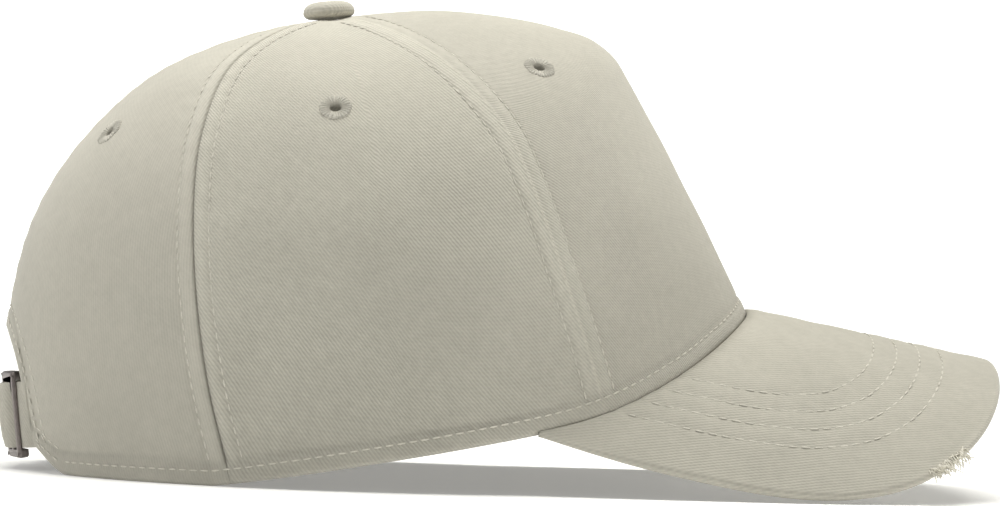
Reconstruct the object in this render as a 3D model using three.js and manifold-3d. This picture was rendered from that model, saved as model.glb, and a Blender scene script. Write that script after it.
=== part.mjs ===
// A five panel cap: one wide front panel, two side panels and two back panels sewn to a covered button,
// a curved peak, six embroidered eyelets, a sweatband, and a cloth strap with a metal slide buckle.
// Millimetres, +Z up, +X towards the tip of the peak, +Y to the wearer's left. The cap rests on z = 0.
import * as THREE from "three";
import { mergeVertices } from "three/addons/utils/BufferGeometryUtils.js";
import Module from "manifold-3d";

const wasm = await Module();
wasm.setup();

// Crown. Reaches are measured at the rim from the cap's widest section, which is at x = 0 while it is built.
const rimFrontReach = 102;
const rimBackReach = 98;
const rimHalfWidth = 82.5;
const crownHeight = 126.2;
const buttonSetback = 16.2;
const panelWall = 1.8;
const seamGap = 0.3;
const seatGap = 0.35;
const hemHeight = 5.5;
const hemStep = 0.4;
const crownTopRadius = 2.9;

// Peak, bent over an arch that falls towards the tip.
const peakLength = 69.6;
const peakHalfWidth = 80.2;
const peakWidestX = 80.3;
const peakEndHalfWidth = 78.2;
const peakThickness = 3;
const peakEndThickness = 1.3;
const peakRestX = 112.6;
const peakFall = 0.18;
const peakFrontRise = 50;
const peakSquareness = 2.8;
const peakEndBearing = 68;
const rimBelowPeakTop = 2;
const rimRestBearing = 118;
const rimFallPower = 1.15;

// Back opening, its strap and the buckle.
const openingHalfWidth = 29.5;
const openingHeight = 37.5;
const openingFlare = 12;
const openingFlareHeight = 6.5;
const openingFlarePower = 1.3;
const openingSquareness = 2.3;
const strapWidth = 18;
const strapThickness = 1.1;
const tabThickness = 1;
const strapBottom = 5.4;
const strapLean = 7;
const strapAnchorInset = 8;
const buckleSide = 23.5;
const buckleBar = 2;
const buckleSlot = 5.5;
const bucklePlate = 1.2;
const buckleCorner = 1.8;
const buckleProud = -0.1;
const buckleRailDepth = 2.2;
const buckleAcross = -12.5;
const tailEnd = 13;

// Trim.
const bandHeight = 30;
const bandThickness = 1.5;
const bandGap = 0.6;
const bandEndInset = 2.5;
const eyeletRadius = 4.6;
const eyeletHeight = 0.9;
const eyeletBore = 1.4;
const eyeletSleeve = 2.2;
const buttonRadius = 7.2;
const buttonHeight = 5;
const buttonShank = 2.2;

// Crown sections from the rim (up = 0) to the button (up = 1), as shares of the reaches and heights above.
const sections = [
  { up: 0.0, front: 1.0, frontRise: 0.0, middle: 0.0, side: 1.0, sideRise: 0.0, back: 1.0, backRise: 0.0 },
  { up: 0.12, front: 0.927, frontRise: 0.222, middle: 0.012, side: 1.018, sideRise: 0.166, back: 1.045, backRise: 0.164 },
  { up: 0.25, front: 0.838, frontRise: 0.471, middle: 0.074, side: 1.008, sideRise: 0.341, back: 1.04, backRise: 0.341 },
  { up: 0.36, front: 0.758, frontRise: 0.68, middle: 0.167, side: 0.964, sideRise: 0.491, back: 0.99, backRise: 0.503 },
  { up: 0.44, front: 0.7, frontRise: 0.822, middle: 0.26, side: 0.909, sideRise: 0.587, back: 0.927, backRise: 0.602 },
  { up: 0.48, front: 0.67, frontRise: 0.893, middle: 0.32, side: 0.875, sideRise: 0.632, back: 0.889, backRise: 0.646 },
  { up: 0.52, front: 0.628, frontRise: 0.947, middle: 0.383, side: 0.836, sideRise: 0.678, back: 0.845, backRise: 0.689 },
  { up: 0.6, front: 0.533, frontRise: 0.994, middle: 0.506, side: 0.745, sideRise: 0.764, back: 0.737, backRise: 0.773 },
  { up: 0.7, front: 0.4, frontRise: 1.028, middle: 0.66, side: 0.6, sideRise: 0.857, back: 0.58, backRise: 0.862 },
  { up: 0.8, front: 0.267, frontRise: 1.038, middle: 0.815, side: 0.418, sideRise: 0.927, back: 0.396, backRise: 0.925 },
  { up: 0.9, front: 0.131, frontRise: 1.027, middle: 0.938, side: 0.212, sideRise: 0.977, back: 0.198, backRise: 0.97 },
  { up: 1.0, front: 0.0, frontRise: 1.0, middle: 1.0, side: 0.0, sideRise: 1.0, back: 0.0, backRise: 1.0 },
];

// Bearings of the seams, in degrees round the rim's oval from the front.
const seams = [
  { up: 0.0, front: 56.2, rear: 114.8 },
  { up: 0.12, front: 57, rear: 117.8 },
  { up: 0.25, front: 57.8, rear: 120.2 },
  { up: 0.4, front: 58.4, rear: 123 },
  { up: 0.55, front: 58.6, rear: 126.3 },
  { up: 0.75, front: 57.8, rear: 131.6 },
  { up: 1.0, front: 57.4, rear: 134 },
];

// Where the eyelets sit on the right of the cap: bearing and share of the way up.
const eyelets = [
  { panel: "front", bearing: 37.8, up: 0.57 },
  { panel: "side", bearing: 97, up: 0.61 },
  { panel: "back", bearing: 157.5, up: 0.557 },
];

// The curve through a table's rows, read at a share of the way up.
function smoothTable(rows) {
  const keys = Object.keys(rows[0]).filter((key) => key !== "up");
  const slope = (key, i) => {
    const chord = (k) => (rows[k + 1][key] - rows[k][key]) / (rows[k + 1].up - rows[k].up);
    if (i === 0) return chord(0);
    if (i === rows.length - 1) return chord(i - 1);
    const before = rows[i].up - rows[i - 1].up;
    const after = rows[i + 1].up - rows[i].up;
    return (chord(i - 1) * after + chord(i) * before) / (before + after);
  };
  return (up) => {
    let i = 0;
    while (i < rows.length - 2 && up >= rows[i + 1].up) i += 1;
    const span = rows[i + 1].up - rows[i].up;
    const s = (up - rows[i].up) / span;
    const value = {};
    for (const key of keys) {
      value[key] =
        (2 * s ** 3 - 3 * s ** 2 + 1) * rows[i][key] +
        (s ** 3 - 2 * s ** 2 + s) * span * slope(key, i) +
        (3 * s ** 2 - 2 * s ** 3) * rows[i + 1][key] +
        (s ** 3 - s ** 2) * span * slope(key, i + 1);
    }
    return value;
  };
}
const sectionAt = smoothTable(sections);
const seamAt = smoothTable(seams);

// Peak surface: a parabolic arch whose bottom edge meets the floor at peakRestX.
const peakFrontLength = rimFrontReach + peakLength - peakWidestX;
const peakRestShare = ((peakRestX - peakWidestX) / peakFrontLength) ** peakSquareness;
const peakRestY = peakHalfWidth * (1 - peakRestShare) ** (1 / peakSquareness);
const peakRestTop = peakFrontRise + peakFall * (rimFrontReach - peakRestX);
const peakEdgeSlope = (2 * peakRestTop) / peakRestY;
const peakEdgeDepth = peakThickness / Math.hypot(1, peakEdgeSlope, peakFall);
const peakArch = (peakRestTop - peakEdgeDepth) / peakRestY ** 2;
const peakTop = (x, y) => peakFrontRise + peakFall * (rimFrontReach - x) - peakArch * y ** 2;
const peakNormal = (y) => new THREE.Vector3(peakFall, 2 * peakArch * y, 1).normalize();

const radians = THREE.MathUtils.degToRad;
const rimPlan = (bearing) => ({
  x: Math.cos(radians(bearing)) * (Math.abs(bearing) < 90 ? rimFrontReach : rimBackReach),
  y: -rimHalfWidth * Math.sin(radians(bearing)),
});
const rimOnPeak = (bearing) => {
  const { x, y } = rimPlan(bearing);
  return peakTop(x, y) - rimBelowPeakTop;
};

// Height of the rim: on the peak at the front, then a nearly even fall to the stretch that rests.
function rimRise(bearing) {
  const b = Math.abs(bearing);
  if (b <= peakEndBearing) return rimOnPeak(b);
  if (b >= rimRestBearing) return 0;
  return rimOnPeak(peakEndBearing) * ((rimRestBearing - b) / (rimRestBearing - peakEndBearing)) ** rimFallPower;
}

const sideRimRise = rimRise(90);
const rimFadeUp = 0.3;

// A point of the crown's outer face.
function crownPoint(bearing, up) {
  const s = sectionAt(up);
  const cos = Math.cos(radians(bearing));
  const sin = Math.sin(radians(bearing));
  const middleX = -buttonSetback * s.middle;
  const frontX = -buttonSetback + s.front * (rimFrontReach + buttonSetback);
  const backX = -buttonSetback - s.back * (rimBackReach - buttonSetback);
  const frontBase = rimRise(0);
  const frontZ = frontBase + s.frontRise * (crownHeight - frontBase);
  const sideZ = sideRimRise + s.sideRise * (crownHeight - sideRimRise);
  const backZ = s.backRise * crownHeight;
  const endX = cos > 0 ? frontX : backX;
  const endZ = cos > 0 ? frontZ : backZ;
  const baseZ = sideRimRise + ((cos > 0 ? frontBase : 0) - sideRimRise) * cos ** 2;
  const fade = Math.max(0, 1 - up / rimFadeUp) ** 2;
  return new THREE.Vector3(
    middleX + (endX - middleX) * Math.abs(cos),
    -rimHalfWidth * s.side * sin,
    sideZ + (endZ - sideZ) * cos ** 2 + (rimRise(bearing) - baseZ) * fade,
  );
}

function crownNormal(bearing, up) {
  const turn = 0.2;
  const rise = 0.002;
  const low = Math.max(0, Math.min(up, 1 - crownTopRise()) - rise);
  const across = crownPoint(bearing + turn, low + rise).sub(crownPoint(bearing - turn, low + rise));
  const upward = crownPoint(bearing, low + 2 * rise).sub(crownPoint(bearing, low));
  return upward.cross(across).normalize();
}

// Share of the way up that a length along the cloth takes at the rim and at the button.
function crownTopRise() {
  return (crownTopRadius * (1 - 0.9)) / (rimHalfWidth * sections.at(-2).side);
}
const rimLengthUp = (length) => (length * 0.12) / crownPoint(90, 0.12).distanceTo(crownPoint(90, 0));

// Degrees of bearing that a distance across the cloth takes.
function bearingStep(bearing, up, distance) {
  return (2 * distance) / crownPoint(bearing + 1, up).distanceTo(crownPoint(bearing - 1, up));
}

// The outer or inner face's point, moved along the normal. At the rim the cloth is cut level.
function clothPoint(bearing, up, offset) {
  const normal = crownNormal(bearing, up);
  if (up < 1e-9) normal.setZ(0).normalize();
  return crownPoint(bearing, up).addScaledVector(normal, offset);
}

// A closed wall between two grids of points that have as many columns and rows.
function wallBetween(outer, inner) {
  const columns = outer.length;
  const rows = outer[0].length;
  const positions = [...outer, ...inner].flat().flatMap((p) => [p.x, p.y, p.z]);
  const out = (i, j) => i * rows + j;
  const into = (i, j) => columns * rows + i * rows + j;
  const faces = [];
  const quad = (a, b, c, d) => faces.push(a, b, c, a, c, d);
  for (let i = 0; i < columns - 1; i += 1) {
    for (let j = 0; j < rows - 1; j += 1) {
      quad(out(i, j), out(i + 1, j), out(i + 1, j + 1), out(i, j + 1));
      quad(into(i, j + 1), into(i + 1, j + 1), into(i + 1, j), into(i, j));
    }
    quad(into(i, 0), into(i + 1, 0), out(i + 1, 0), out(i, 0));
    quad(out(i, rows - 1), out(i + 1, rows - 1), into(i + 1, rows - 1), into(i, rows - 1));
  }
  for (let j = 0; j < rows - 1; j += 1) {
    quad(out(0, j), out(0, j + 1), into(0, j + 1), into(0, j));
    quad(into(columns - 1, j), into(columns - 1, j + 1), out(columns - 1, j + 1), out(columns - 1, j));
  }
  const geometry = new THREE.BufferGeometry();
  geometry.setAttribute("position", new THREE.Float32BufferAttribute(positions, 3));
  geometry.setIndex(faces);
  return facingOut(geometry);
}

function facingOut(geometry) {
  const p = geometry.getAttribute("position");
  const index = geometry.index.array;
  const corner = (k) => new THREE.Vector3().fromBufferAttribute(p, index[k]);
  let volume = 0;
  for (let k = 0; k < index.length; k += 3) volume += corner(k).dot(corner(k + 1).cross(corner(k + 2)));
  if (volume < 0) for (let k = 0; k < index.length; k += 3) [index[k], index[k + 1]] = [index[k + 1], index[k]];
  return geometry;
}

function solidOf(geometry) {
  const bare = geometry.clone().deleteAttribute("normal").deleteAttribute("uv");
  const merged = mergeVertices(bare, 1e-4);
  return new wasm.Manifold(
    new wasm.Mesh({
      numProp: 3,
      vertProperties: merged.getAttribute("position").array,
      triVerts: new Uint32Array(merged.index.array),
    }),
  );
}

function geometryOf(solid) {
  const mesh = solid.getMesh();
  const geometry = new THREE.BufferGeometry();
  geometry.setAttribute("position", new THREE.Float32BufferAttribute(mesh.vertProperties, 3));
  geometry.setIndex([...mesh.triVerts]);
  return geometry;
}

// Where an eyelet stands: its place on the cloth and the turn that points +Y out of the cloth.
function eyeletPlace({ bearing, up }, side) {
  const normal = crownNormal(bearing * side, up);
  return {
    position: crownPoint(bearing * side, up),
    quaternion: new THREE.Quaternion().setFromUnitVectors(new THREE.Vector3(0, 1, 0), normal),
  };
}

const eyeletSides = 10;

// A round hole for one eyelet's sleeve, cut right through the cloth.
function punch(geometry, eyelet, side) {
  const place = eyeletPlace(eyelet, side);
  const cutter = new THREE.CylinderGeometry(
    eyeletSleeve + seatGap,
    eyeletSleeve + seatGap,
    panelWall * 4,
    eyeletSides,
  );
  cutter.applyQuaternion(place.quaternion);
  cutter.translate(...place.position.toArray());
  return geometryOf(solidOf(geometry).subtract(solidOf(cutter)));
}

// Rows of cloth up a panel: the hem and its step, then closer together round the bend of the front panel.
const hemUp = rimLengthUp(hemHeight);
const hemStepUp = rimLengthUp(hemStep);
const panelRows = [
  0, hemUp, hemUp + hemStepUp, 0.12, 0.22, 0.32, 0.41, 0.46, 0.5, 0.54, 0.6, 0.69, 0.79, 0.89, 1 - crownTopRise(),
];

// A panel from the rim to the button, between two bearings that follow the seams.
function panel(fromBearing, toBearing, columns) {
  const outer = [];
  const inner = [];
  for (let i = 0; i <= columns; i += 1) {
    const faceAt = (offset) =>
      panelRows.map((up, j) => {
        const bearing = THREE.MathUtils.lerp(fromBearing(up), toBearing(up), i / columns);
        return clothPoint(bearing, up, offset === 0 && j < 2 ? hemStep : offset);
      });
    outer.push(faceAt(0));
    inner.push(faceAt(-panelWall));
  }
  return wallBetween(outer, inner);
}

const halfGap = (bearing, up) => bearingStep(bearing, up, seamGap / 2);
const frontSeam = (up) => seamAt(up).front;
const rearSeam = (up) => seamAt(up).rear;
const frontColumns = 22;
const sideColumns = 9;

function frontPanel() {
  const edge = (up) => frontSeam(up) - halfGap(frontSeam(up), up);
  let geometry = panel((up) => -edge(up), edge, frontColumns);
  for (const side of [1, -1]) geometry = punch(geometry, eyelets[0], side);
  return geometry;
}

function sidePanel(side) {
  const from = (up) => side * (frontSeam(up) + halfGap(frontSeam(up), up));
  const to = (up) => side * (rearSeam(up) - halfGap(rearSeam(up), up));
  return punch(panel(from, to, sideColumns), eyelets[1], side);
}

// Lower edge of a back panel: along the rim, then up the arch of the opening to the centre of the back.
const rimSteps = 4;
const flareSteps = 3;
const archSteps = 7;

function upAtHeight(bearing, height) {
  let low = 0;
  let high = 0.6;
  for (let k = 0; k < 40; k += 1) {
    const middle = (low + high) / 2;
    if (crownPoint(bearing, middle).z < height) low = middle;
    else high = middle;
  }
  return (low + high) / 2;
}

const bearingAcross = (across) => 180 - THREE.MathUtils.radToDeg(Math.asin(across / rimHalfWidth));

function backEdge() {
  const centre = 180 - halfGap(180, 0.2);
  const start = rearSeam(0) + halfGap(rearSeam(0), 0);
  const corner = bearingAcross(openingHalfWidth + openingFlare);
  const edge = [];
  for (let k = 0; k <= rimSteps; k += 1) {
    edge.push({ bearing: THREE.MathUtils.lerp(start, corner, k / rimSteps), up: 0 });
  }
  for (let k = 1; k <= flareSteps; k += 1) {
    const s = k / flareSteps;
    const bearing = bearingAcross(openingHalfWidth + openingFlare * (1 - s));
    edge.push({ bearing, up: upAtHeight(bearing, openingFlareHeight * s ** openingFlarePower) });
  }
  const power = 2 / openingSquareness;
  for (let k = 1; k <= archSteps; k += 1) {
    const turn = (Math.PI / 2) * (k / archSteps);
    const bearing = Math.min(centre, bearingAcross(openingHalfWidth * Math.cos(turn) ** power));
    const height = openingFlareHeight + (openingHeight - openingFlareHeight) * Math.sin(turn) ** power;
    edge.push({ bearing, up: upAtHeight(bearing, height) });
  }
  return edge;
}

function backPanel(side) {
  const edge = backEdge();
  const top = panelRows.at(-1);
  const outer = [];
  const inner = [];
  edge.forEach((foot, i) => {
    const left = (up) => rearSeam(up) + halfGap(rearSeam(up), up);
    const right = (up) => 180 - halfGap(180, up);
    const footShare = (foot.bearing - left(foot.up)) / (right(foot.up) - left(foot.up));
    const faceAt = (offset) =>
      panelRows.map((row, j) => {
        const up = foot.up + (top - foot.up) * (row / top);
        const share = THREE.MathUtils.lerp(footShare, i / (edge.length - 1), row / top);
        const bearing = THREE.MathUtils.lerp(left(up), right(up), share);
        return clothPoint(side * bearing, up, offset === 0 && j < 2 ? hemStep : offset);
      });
    outer.push(faceAt(0));
    inner.push(faceAt(-panelWall));
  });
  return punch(wallBetween(outer, inner), eyelets[2], side);
}

// Bearings of the rim's corners that the peak's inner edge follows, so that the two polygons run side by side.
function peakBearings() {
  const front = frontSeam(0) - halfGap(frontSeam(0), 0);
  const sideFrom = frontSeam(0) + halfGap(frontSeam(0), 0);
  const sideTo = rearSeam(0) - halfGap(rearSeam(0), 0);
  const right = [];
  for (let i = 1; i <= frontColumns / 2; i += 1) right.push((front * i) / (frontColumns / 2));
  right.push(sideFrom);
  for (let i = 1; i <= sideColumns; i += 1) {
    const bearing = THREE.MathUtils.lerp(sideFrom, sideTo, i / sideColumns);
    if (bearing < peakEndBearing - 1) right.push(bearing);
  }
  right.push(peakEndBearing);
  return [...right.map((b) => -b).reverse(), 0, ...right];
}

// The peak's outer edge in plan: squarish round the tip, tapering back a little to its two ends.
const peakEndX = rimPlan(peakEndBearing).x;
const peakFrontShare = 0.72;
function peakEdgePlan(share) {
  const side = -Math.sign(share);
  const s = Math.abs(share);
  if (s <= peakFrontShare) {
    const turn = (Math.PI / 2) * (s / peakFrontShare);
    const power = 2 / peakSquareness;
    return {
      x: peakWidestX + peakFrontLength * Math.cos(turn) ** power,
      y: side * peakHalfWidth * Math.sin(turn) ** power,
    };
  }
  const back = (s - peakFrontShare) / (1 - peakFrontShare);
  return {
    x: THREE.MathUtils.lerp(peakWidestX, peakEndX, back),
    y: side * THREE.MathUtils.lerp(peakHalfWidth, peakEndHalfWidth, back ** 2),
  };
}

// The cloth and its stiff core thin out towards the two ends, where the peak runs in under the rim.
const peakFullShare = 0.72;
function peakThicknessAt(share) {
  const s = THREE.MathUtils.smoothstep(Math.abs(share), peakFullShare, 1);
  return THREE.MathUtils.lerp(peakThickness, peakEndThickness, s);
}

const peakRows = [0, 0.12, 0.34, 0.56, 0.78, 1];

function peak() {
  const top = [];
  const bottom = [];
  for (const bearing of peakBearings()) {
    const share = bearing / peakEndBearing;
    const thickness = peakThicknessAt(share);
    const inner = clothPoint(bearing, 0, hemStep + seatGap);
    const outer = peakEdgePlan(share);
    const upper = peakRows.map((s) => {
      const x = THREE.MathUtils.lerp(inner.x, outer.x, s);
      const y = THREE.MathUtils.lerp(inner.y, outer.y, s);
      return new THREE.Vector3(x, y, peakTop(x, y));
    });
    const lower = upper.map((p, j) => {
      const normal = peakNormal(p.y);
      const down = new THREE.Vector3(0, 0, -thickness / normal.z);
      return p.clone().add(down.lerp(normal.multiplyScalar(-thickness), peakRows[j]));
    });
    top.push(upper);
    bottom.push(lower);
  }
  return wallBetween(top, bottom);
}

// The sweatband stands just inside the crown, from just above the rim.
function sweatband() {
  const end = bearingAcross(openingHalfWidth + openingFlare + bandEndInset);
  const columns = 42;
  const low = rimLengthUp(1);
  const rows = [low, low + rimLengthUp(bandHeight) / 2, low + rimLengthUp(bandHeight)];
  const outer = [];
  const inner = [];
  for (let i = 0; i <= columns; i += 1) {
    const bearing = THREE.MathUtils.lerp(-end, end, i / columns);
    const face = (offset) => rows.map((up) => clothPoint(bearing, up, offset));
    outer.push(face(-panelWall - bandGap));
    inner.push(face(-panelWall - bandGap - bandThickness));
  }
  return wallBetween(outer, inner);
}

function lathe(profile, sides) {
  return new THREE.LatheGeometry(
    profile.map(([r, h]) => new THREE.Vector2(r, h)),
    sides,
  );
}

function eyelet() {
  const topZ = seatGap + eyeletHeight;
  return lathe(
    [
      [eyeletBore, -panelWall],
      [eyeletSleeve, -panelWall],
      [eyeletSleeve, seatGap],
      [eyeletRadius, seatGap],
      [eyeletRadius - 0.3, seatGap + eyeletHeight * 0.6],
      [(eyeletRadius + eyeletBore) / 2, topZ],
      [eyeletBore + 0.3, seatGap + eyeletHeight * 0.7],
      [eyeletBore, -panelWall],
    ],
    eyeletSides,
  );
}

function button() {
  return lathe(
    [
      [0, -panelWall - 0.6],
      [buttonShank, -panelWall - 0.6],
      [buttonShank, seatGap + 0.4],
      [buttonRadius - 1, seatGap + 0.1],
      [buttonRadius, seatGap + buttonHeight * 0.28],
      [buttonRadius - 0.3, seatGap + buttonHeight * 0.58],
      [buttonRadius * 0.76, seatGap + buttonHeight * 0.86],
      [buttonRadius * 0.42, seatGap + buttonHeight * 0.98],
      [0, seatGap + buttonHeight],
    ],
    16,
  );
}

// Plan of the back of the crown at the strap's middle, pushed out by an offset; "across" is the place along Y.
const strapMiddleZ = strapBottom + strapWidth / 2;
const strapUp = upAtHeight(180, strapMiddleZ);
const backPlanReach = -crownPoint(180, strapUp).x;
function backPlan(across, offset) {
  const turn = Math.asin(across / (rimHalfWidth * sectionAt(strapUp).side));
  const bearing = THREE.MathUtils.radToDeg(turn) - 180;
  const out = crownNormal(bearing, strapUp).setZ(0).normalize();
  const p = crownPoint(bearing, strapUp).addScaledVector(out, offset);
  return new THREE.Vector2(p.x, p.y);
}

// A strip of cloth on edge: its middle line in plan, given a thickness and raised to the strap's width.
function strip(line, thickness) {
  const side = (sign) =>
    line.map((p, i) => {
      const before = line[Math.max(0, i - 1)];
      const after = line[Math.min(line.length - 1, i + 1)];
      const along = after.clone().sub(before).normalize();
      return new THREE.Vector2(
        p.x - (sign * along.y * thickness) / 2,
        p.y + (sign * along.x * thickness) / 2,
      );
    });
  const outline = new THREE.Shape([...side(1), ...side(-1).reverse()]);
  return new THREE.ExtrudeGeometry(outline, { depth: strapWidth, bevelEnabled: false, steps: 1 });
}

const buckleStep = buckleBar + buckleSlot;
const buckleLength = 3 * buckleBar + 2 * buckleSlot;
const tabOverBar = bucklePlate / 2 + 0.25 + tabThickness / 2;
const strapOverBar = tabOverBar + tabThickness / 2 + 0.3 + strapThickness / 2;
const strapUnderBar = -bucklePlate / 2 - 0.35 - strapThickness / 2;
const clearAcross = openingHalfWidth - 3.5;

// Adjusting strap: sewn inside the right back panel, under the near bar, over the middle bar, under the far bar.
function adjustingStrap() {
  const inPanel = -panelWall - 0.9 - strapThickness / 2;
  const under = buckleProud + strapUnderBar;
  const over = buckleProud + strapOverBar;
  const route = [
    { across: -openingHalfWidth - strapAnchorInset, offset: inPanel },
    { across: -openingHalfWidth, offset: inPanel },
    { across: -clearAcross, offset: inPanel },
    { across: buckleAcross - buckleStep - 3, offset: under - 0.6 },
    { across: buckleAcross - buckleStep + 0.6, offset: under },
    { across: buckleAcross - buckleStep + 2.6, offset: under + 0.5 },
    { across: buckleAcross - 2.9, offset: over - 0.9 },
    { across: buckleAcross - 1.3, offset: over },
    { across: buckleAcross + 1.3, offset: over },
    { across: buckleAcross + 2.9, offset: over - 0.9 },
    { across: buckleAcross + buckleStep - 2.6, offset: under + 0.5 },
    { across: buckleAcross + buckleStep - 0.6, offset: under },
    { across: buckleAcross + buckleStep + 3.2, offset: under - 0.1 },
    { across: (buckleAcross + buckleStep + tailEnd) / 2, offset: under },
    { across: tailEnd, offset: under + 0.2 },
  ];
  return strip(route.map(({ across, offset }) => backPlan(across, offset)), strapThickness);
}

// Short tab: sewn inside the left back panel, under the adjusting strap's tail and round the middle bar.
function buckleTab() {
  const inPanel = -panelWall - 0.9 - tabThickness / 2;
  const tailUnderside = buckleProud + strapUnderBar - strapThickness / 2;
  const layer = tailUnderside - 0.35 - tabThickness / 2;
  const foldGap = tabThickness + 0.35;
  const route = [
    { across: openingHalfWidth + strapAnchorInset, offset: inPanel },
    { across: openingHalfWidth, offset: inPanel },
    { across: clearAcross, offset: inPanel },
    { across: tailEnd, offset: layer - 0.2 },
    { across: buckleAcross + buckleStep + 2, offset: layer },
    { across: buckleAcross + buckleStep - 3.1, offset: layer + 0.2 },
  ];
  const outerLine = route.map(({ across, offset }) => backPlan(across, offset));
  const bar = backPlan(buckleAcross, buckleProud);
  const along = backPlan(buckleAcross + 1, buckleProud).sub(bar).normalize();
  const out = new THREE.Vector2(-along.y, along.x);
  if (out.dot(backPlan(buckleAcross, 1).sub(backPlan(buckleAcross, 0))) < 0) out.negate();
  const barReach = buckleBar / 2 + 0.5 + tabThickness / 2;
  const turn = [
    [barReach, 0.3],
    [barReach * 0.88, 0.8],
    [barReach * 0.5, 1],
    [-barReach * 0.5, 1],
    [-barReach * 0.88, 0.8],
    [-barReach, 0],
    [-barReach * 0.88, -0.8],
    [-barReach * 0.5, -1],
    [barReach * 0.5, -1],
  ].map(([a, o]) => bar.clone().addScaledVector(along, a).addScaledVector(out, o * tabOverBar));
  const foldLine = [
    { across: buckleAcross + buckleStep - 3.3, offset: layer - foldGap - 0.2 },
    { across: buckleAcross + buckleStep + 2, offset: layer - foldGap },
    { across: buckleAcross + buckleStep + 8, offset: layer - foldGap },
  ].map(({ across, offset }) => backPlan(across, offset));
  return strip([...outerLine, ...turn, ...foldLine], tabThickness);
}

// Slide buckle: a plate with two slots and a bar between them.
function roundedOblong(halfLength, halfSide, corner, steps) {
  const quarters = [
    [1, -1],
    [1, 1],
    [-1, 1],
    [-1, -1],
  ];
  return quarters.flatMap(([alongSign, upSign], quarter) =>
    Array.from({ length: steps + 1 }, (_, i) => {
      const turn = (Math.PI / 2) * (quarter - 1 + i / steps);
      return new THREE.Vector2(
        alongSign * (halfLength - corner) + corner * Math.cos(turn),
        upSign * (halfSide - corner) + corner * Math.sin(turn),
      );
    }),
  );
}

// One of the two long sides, which curve in towards the head.
function buckleRail(side) {
  const half = buckleLength / 2;
  const top = bucklePlate / 2;
  const profile = [
    [-half, -top],
    [-half + 2.4, -top - buckleRailDepth],
    [half - 2.4, -top - buckleRailDepth],
    [half, -top],
    [half - 0.4, top],
    [-half + 0.4, top],
  ].map(([along, out]) => new THREE.Vector2(along, out));
  const height = (buckleSide - strapWidth - 1) / 2;
  const rail = new THREE.ExtrudeGeometry(new THREE.Shape(profile), { depth: height, bevelEnabled: false, steps: 1 });
  rail.rotateX(-Math.PI / 2);
  const low = (strapWidth + 1) / 2;
  return rail.translate(0, side > 0 ? low : -low - height, 0);
}

function buckle() {
  const outline = new THREE.Shape(roundedOblong(buckleLength / 2, buckleSide / 2, buckleCorner, 3));
  const plate = new THREE.ExtrudeGeometry(outline, { depth: bucklePlate, bevelEnabled: false, steps: 1 });
  plate.translate(0, 0, -bucklePlate / 2);
  let solid = solidOf(plate);
  for (const side of [-1, 1]) {
    const slot = new THREE.BoxGeometry(buckleSlot, strapWidth + 1, 2 * bucklePlate);
    slot.translate((side * (buckleBar + buckleSlot)) / 2, 0, 0);
    solid = solid.subtract(solidOf(slot)).add(solidOf(buckleRail(side)));
  }
  return geometryOf(solid);
}

const cloth = new THREE.MeshStandardMaterial({ color: 0xc6c0b0, roughness: 0.95, metalness: 0 });
const thread = new THREE.MeshStandardMaterial({ color: 0xcdc8ba, roughness: 0.85, metalness: 0 });
const metal = new THREE.MeshStandardMaterial({ color: 0x857a78, roughness: 0.4, metalness: 0.9 });

function part(name, geometry, material) {
  const mesh = new THREE.Mesh(geometry, material);
  mesh.name = name;
  return mesh;
}

const cap = new THREE.Group();
cap.add(
  part("front_panel", frontPanel(), cloth),
  part("side_panel_right", sidePanel(1), cloth),
  part("side_panel_left", sidePanel(-1), cloth),
  part("back_panel_right", backPanel(1), cloth),
  part("back_panel_left", backPanel(-1), cloth),
  part("peak", peak(), cloth),
  part("sweatband", sweatband(), cloth),
);

for (const seat of eyelets) {
  for (const [side, word] of [
    [1, "right"],
    [-1, "left"],
  ]) {
    const mesh = part(`eyelet_${seat.panel}_${word}`, eyelet(), thread);
    const place = eyeletPlace(seat, side);
    mesh.position.copy(place.position);
    mesh.quaternion.copy(place.quaternion);
    cap.add(mesh);
  }
}

const topButton = part("button", button(), cloth);
const aroundButton = 0.95;
const buttonUp = crownPoint(0, aroundButton).sub(crownPoint(180, aroundButton)).normalize();
topButton.position.copy(crownPoint(0, 1));
topButton.rotation.y = -Math.atan2(buttonUp.z, buttonUp.x);
topButton.rotation.x = Math.PI / 2;
topButton.rotation.order = "YXZ";
cap.add(topButton);

// The strap, its tab and the buckle lean together with the back of the crown.
const closure = new THREE.Group();
const rightStrap = part("adjusting_strap", adjustingStrap(), cloth);
const leftTab = part("buckle_tab", buckleTab(), cloth);
for (const mesh of [rightStrap, leftTab]) mesh.position.set(backPlanReach, 0, -strapWidth / 2);
const slide = part("buckle", buckle(), metal);
const slideAt = backPlan(buckleAcross, buckleProud);
const slideAlong = backPlan(buckleAcross + 1, buckleProud).sub(backPlan(buckleAcross - 1, buckleProud));
const slideX = new THREE.Vector3(slideAlong.x, slideAlong.y, 0).normalize();
const slideY = new THREE.Vector3(0, 0, 1);
slide.quaternion.setFromRotationMatrix(
  new THREE.Matrix4().makeBasis(slideX, slideY, slideX.clone().cross(slideY)),
);
slide.position.set(slideAt.x + backPlanReach, slideAt.y, 0);
closure.add(rightStrap, leftTab, slide);
closure.position.set(-backPlanReach, 0, strapMiddleZ);
closure.rotation.y = radians(-strapLean);
cap.add(closure);

// Put the origin under the middle of the cap, on the surface that it rests on.
const bounds = new THREE.Box3().setFromObject(cap, true);
cap.position.set(-(bounds.min.x + bounds.max.x) / 2, -(bounds.min.y + bounds.max.y) / 2, -bounds.min.z);

export default cap;
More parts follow.
